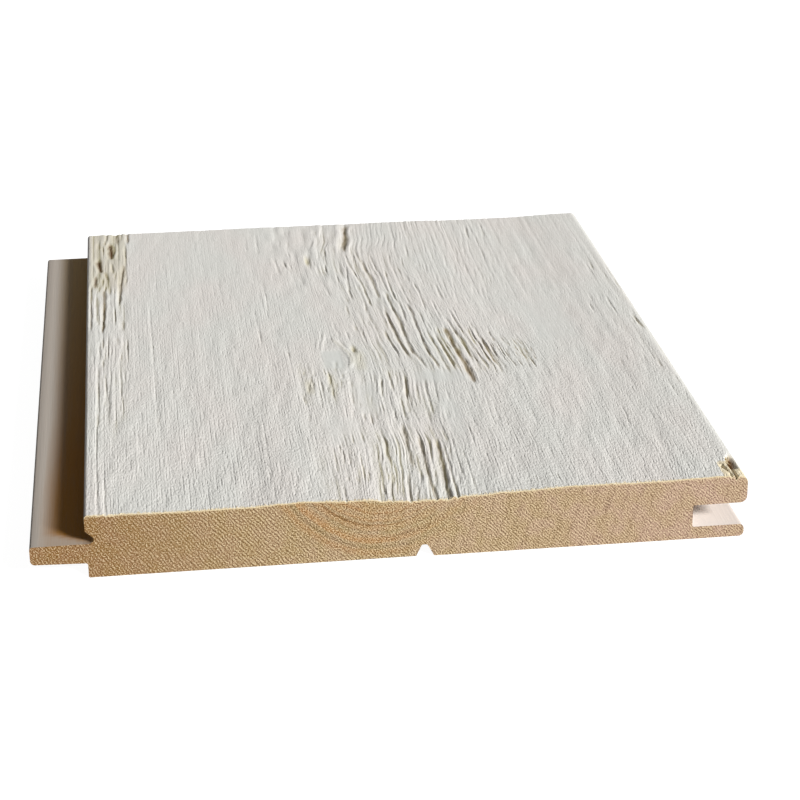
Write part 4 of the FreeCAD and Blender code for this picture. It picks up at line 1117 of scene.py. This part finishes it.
def loose_fibre_tree():
    """Geometry Nodes: tapered fibres set along a guide line, each turned, shifted and sized at random."""
    tree = bpy.data.node_groups.new("loose_fibres", "GeometryNodeTree")
    tree.is_modifier = True
    sockets = (
        ("Guide", "NodeSocketGeometry"), ("Count", "NodeSocketInt"), ("Length", "NodeSocketFloat"),
        ("Thickness", "NodeSocketFloat"), ("Least turn", "NodeSocketVector"), ("Most turn", "NodeSocketVector"),
        ("Least shift", "NodeSocketVector"), ("Most shift", "NodeSocketVector"), ("Seed", "NodeSocketInt"),
        ("Wood", "NodeSocketMaterial"),
    )
    for name, kind in sockets:
        tree.interface.new_socket(name, in_out="INPUT", socket_type=kind)
    tree.interface.new_socket("Fibres", in_out="OUTPUT", socket_type="NodeSocketGeometry")
    given = add(tree, "NodeGroupInput").outputs
    line = add(tree, "GeometryNodeMeshToCurve", {"Mesh": given["Guide"]}).outputs[0]
    roots = add(tree, "GeometryNodeCurveToPoints", {"Curve": line, "Count": given["Count"]}, mode="COUNT").outputs[0]
    shift = add(tree, "FunctionNodeRandomValue", {
        0: given["Least shift"], 1: given["Most shift"], "Seed": given["Seed"],
    }, data_type="FLOAT_VECTOR").outputs[0]
    roots = add(tree, "GeometryNodeSetPosition", {"Geometry": roots, "Offset": shift}).outputs[0]
    next_seed = add(tree, "ShaderNodeMath", {0: given["Seed"], 1: 1.0}).outputs[0]
    turn = add(tree, "FunctionNodeRandomValue", {
        0: given["Least turn"], 1: given["Most turn"], "Seed": next_seed,
    }, data_type="FLOAT_VECTOR").outputs[0]
    last_seed = add(tree, "ShaderNodeMath", {0: given["Seed"], 1: 2.0}).outputs[0]
    size = add(tree, "FunctionNodeRandomValue", {2: 0.45, 3: 1.0, "Seed": last_seed}, data_type="FLOAT").outputs[1]
    fibre = add(tree, "GeometryNodeMeshCone", {
        "Vertices": 5, "Radius Top": 0.0, "Radius Bottom": given["Thickness"], "Depth": given["Length"],
    }).outputs[0]
    set_out = add(tree, "GeometryNodeInstanceOnPoints", {
        "Points": roots, "Instance": fibre, "Rotation": turn, "Scale": size,
    }).outputs[0]
    solid = add(tree, "GeometryNodeRealizeInstances", {"Geometry": set_out}).outputs[0]
    wooden = add(tree, "GeometryNodeSetMaterial", {"Geometry": solid, "Material": given["Wood"]}).outputs[0]
    add(tree, "NodeGroupOutput", {0: wooden})
    return tree


def make_fibres(name, tree, guide, settings):
    """A plain mesh of loose fibres along guide, a row of (across, along, up) points in millimetres."""
    mesh = bpy.data.meshes.new(name)
    mesh.from_pydata([tuple(c * MM for c in point) for point in guide], [(k, k + 1) for k in range(len(guide) - 1)], [])
    piece = bpy.data.objects.new(name, mesh)
    bpy.context.scene.collection.objects.link(piece)
    modifier = piece.modifiers.new("loose_fibres", "NODES")
    modifier.node_group = tree
    for item in tree.interface.items_tree:
        if item.name in settings:
            modifier[item.identifier] = settings[item.name]
    depsgraph = bpy.context.evaluated_depsgraph_get()
    made = bpy.data.meshes.new_from_object(piece.evaluated_get(depsgraph), depsgraph=depsgraph)
    piece.modifiers.clear()
    piece.data = made
    made.name = name
    return piece


def turned(*degrees):
    return [math.radians(d) for d in degrees]


def make_all_fibres(arris):
    """Fibres that the saw left along the front edge of the face, and splinters where the corner split."""
    tree = loose_fibre_tree()
    wood = torn_fibre_material()
    along_edge = [(px, FRONT + 0.15, min(pz, 17.62)) for px, _, pz in arris[::6] if -78.0 < px < 86.0]
    edge = make_fibres("saw_fibres_front_edge", tree, along_edge, {
        "Count": 420, "Length": 1.1 * MM, "Thickness": 0.10 * MM, "Seed": 11, "Wood": wood,
        "Least turn": turned(-88, 0, -75), "Most turn": turned(-74, 0, 75),
        "Least shift": (-0.3 * MM, 0.0, -0.05 * MM), "Most shift": (0.3 * MM, 0.3 * MM, 0.05 * MM),
    })
    wall = ((92.9, -101.6, 17.55), (91.5, -104.6, 17.6), (90.8, -108.0, 17.6), (90.6, -112.2, 17.5))
    chip = make_fibres("splinters_torn_corner", tree, wall, {
        "Count": 16, "Length": 3.4 * MM, "Thickness": 0.26 * MM, "Seed": 5, "Wood": wood,
        "Least turn": turned(86, 0, -14), "Most turn": turned(96, 0, 22),
        "Least shift": (-0.35 * MM, 0.0, -0.25 * MM), "Most shift": (0.35 * MM, 0.5 * MM, 0.05 * MM),
    })
    slit = ((87.6, -107.6, 17.6), (88.6, -110.2, 17.5), (89.5, -113.4, 17.4))
    beside = make_fibres("splinters_beside_slit", tree, slit, {
        "Count": 12, "Length": 2.2 * MM, "Thickness": 0.22 * MM, "Seed": 23, "Wood": wood,
        "Least turn": turned(84, 0, -5), "Most turn": turned(94, 0, 40),
        "Least shift": (-0.5 * MM, 0.0, -0.2 * MM), "Most shift": (0.6 * MM, 0.5 * MM, 0.0),
    })
    return edge, chip, beside


# Stage: a white floor that keeps a faint shadow, a low even sky and one soft key lamp from the right front

KEY_FROM = (0.560, -0.673, 0.485)
KEY_STRENGTH = 5.40
KEY_WIDTH = math.radians(13.0)
SKY_LEVEL = 0.16
FLOOR_GLOW = 0.965


def make_stage():
    world = bpy.data.worlds.new("even_white_sky")
    bpy.context.scene.world = world
    world.use_nodes = True
    t = world.node_tree
    t.nodes.clear()
    path = add(t, "ShaderNodeLightPath")
    seen = add(t, "ShaderNodeMath", {0: path.outputs["Is Camera Ray"], 1: path.outputs["Is Glossy Ray"]},
               operation="MAXIMUM").outputs[0]
    seen = add(t, "ShaderNodeMath", {0: seen, 1: path.outputs["Is Transmission Ray"]}, operation="MAXIMUM").outputs[0]
    level = add(t, "ShaderNodeMapRange", {"Value": seen, "To Min": SKY_LEVEL, "To Max": 1.0}).outputs[0]
    sky = add(t, "ShaderNodeBackground", {"Color": (1.0, 1.0, 1.0, 1.0), "Strength": level})
    add(t, "ShaderNodeOutputWorld", {"Surface": sky.outputs[0]})

    lamp = bpy.data.lights.new("key_lamp", "SUN")
    lamp.energy = KEY_STRENGTH
    lamp.angle = KEY_WIDTH
    key = bpy.data.objects.new("key_lamp", lamp)
    key.matrix_world = Vector(KEY_FROM).to_track_quat("Z", "Y").to_matrix().to_4x4()
    bpy.context.scene.collection.objects.link(key)

    material, t = new_material("white_floor")
    path = add(t, "ShaderNodeLightPath")
    seen = add(t, "ShaderNodeMath", {0: path.outputs["Is Camera Ray"], 1: path.outputs["Is Glossy Ray"]},
               operation="MAXIMUM").outputs[0]
    seen = add(t, "ShaderNodeMath", {0: seen, 1: path.outputs["Is Transmission Ray"]}, operation="MAXIMUM").outputs[0]
    glow = add(t, "ShaderNodeMath", {0: seen, 1: FLOOR_GLOW}, operation="MULTIPLY").outputs[0]
    light = add(t, "ShaderNodeEmission", {"Color": (1.0, 1.0, 1.0, 1.0), "Strength": glow})
    matt = add(t, "ShaderNodeBsdfDiffuse", {"Color": hex_colour("808080")})
    both = add(t, "ShaderNodeAddShader", {0: matt.outputs[0], 1: light.outputs[0]})
    add(t, "ShaderNodeOutputMaterial", {"Surface": both.outputs[0]})
    mesh = bpy.data.meshes.new("floor")
    far = 4.0
    mesh.from_pydata([(-far, -far, 0), (far, -far, 0), (far, far, 0), (-far, far, 0)], [], [(0, 1, 2, 3)])
    mesh.materials.append(material)
    floor = bpy.data.objects.new("floor", mesh)
    bpy.context.scene.collection.objects.link(floor)


# Camera: fitted to the photograph, in front of the board, a little left of its middle, looking right and down
CAMERA_PLACE = (-61.91, -636.48, 261.81)
LOOKS_RIGHT = math.radians(6.977)
LOOKS_DOWN = math.radians(22.457)
LEANS = math.radians(-0.548)
FOCAL_PIXELS = 2211.0


def make_camera():
    ahead = Vector((
        math.sin(LOOKS_RIGHT) * math.cos(LOOKS_DOWN),
        math.cos(LOOKS_RIGHT) * math.cos(LOOKS_DOWN),
        -math.sin(LOOKS_DOWN),
    ))
    level = Vector((math.cos(LOOKS_RIGHT), -math.sin(LOOKS_RIGHT), 0.0))
    upright = level.cross(ahead)
    right = math.cos(LEANS) * level + math.sin(LEANS) * upright
    up = -math.sin(LEANS) * level + math.cos(LEANS) * upright
    data = bpy.data.cameras.new("camera")
    data.sensor_width = 36.0
    data.lens = FOCAL_PIXELS / 800.0 * data.sensor_width
    data.clip_start = 0.01
    data.clip_end = 20.0
    camera = bpy.data.objects.new("camera", data)
    turn = Matrix((right, up, -ahead)).transposed().to_4x4()
    camera.matrix_world = Matrix.Translation(Vector(CAMERA_PLACE) * MM) @ turn
    bpy.context.scene.collection.objects.link(camera)
    bpy.context.scene.camera = camera


bpy.context.scene.view_settings.view_transform = "Standard"
make_camera()
make_stage()
board, arris = make_board()
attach(board, "root")
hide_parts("board")
for piece in make_all_fibres(arris):
    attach(piece, "root")
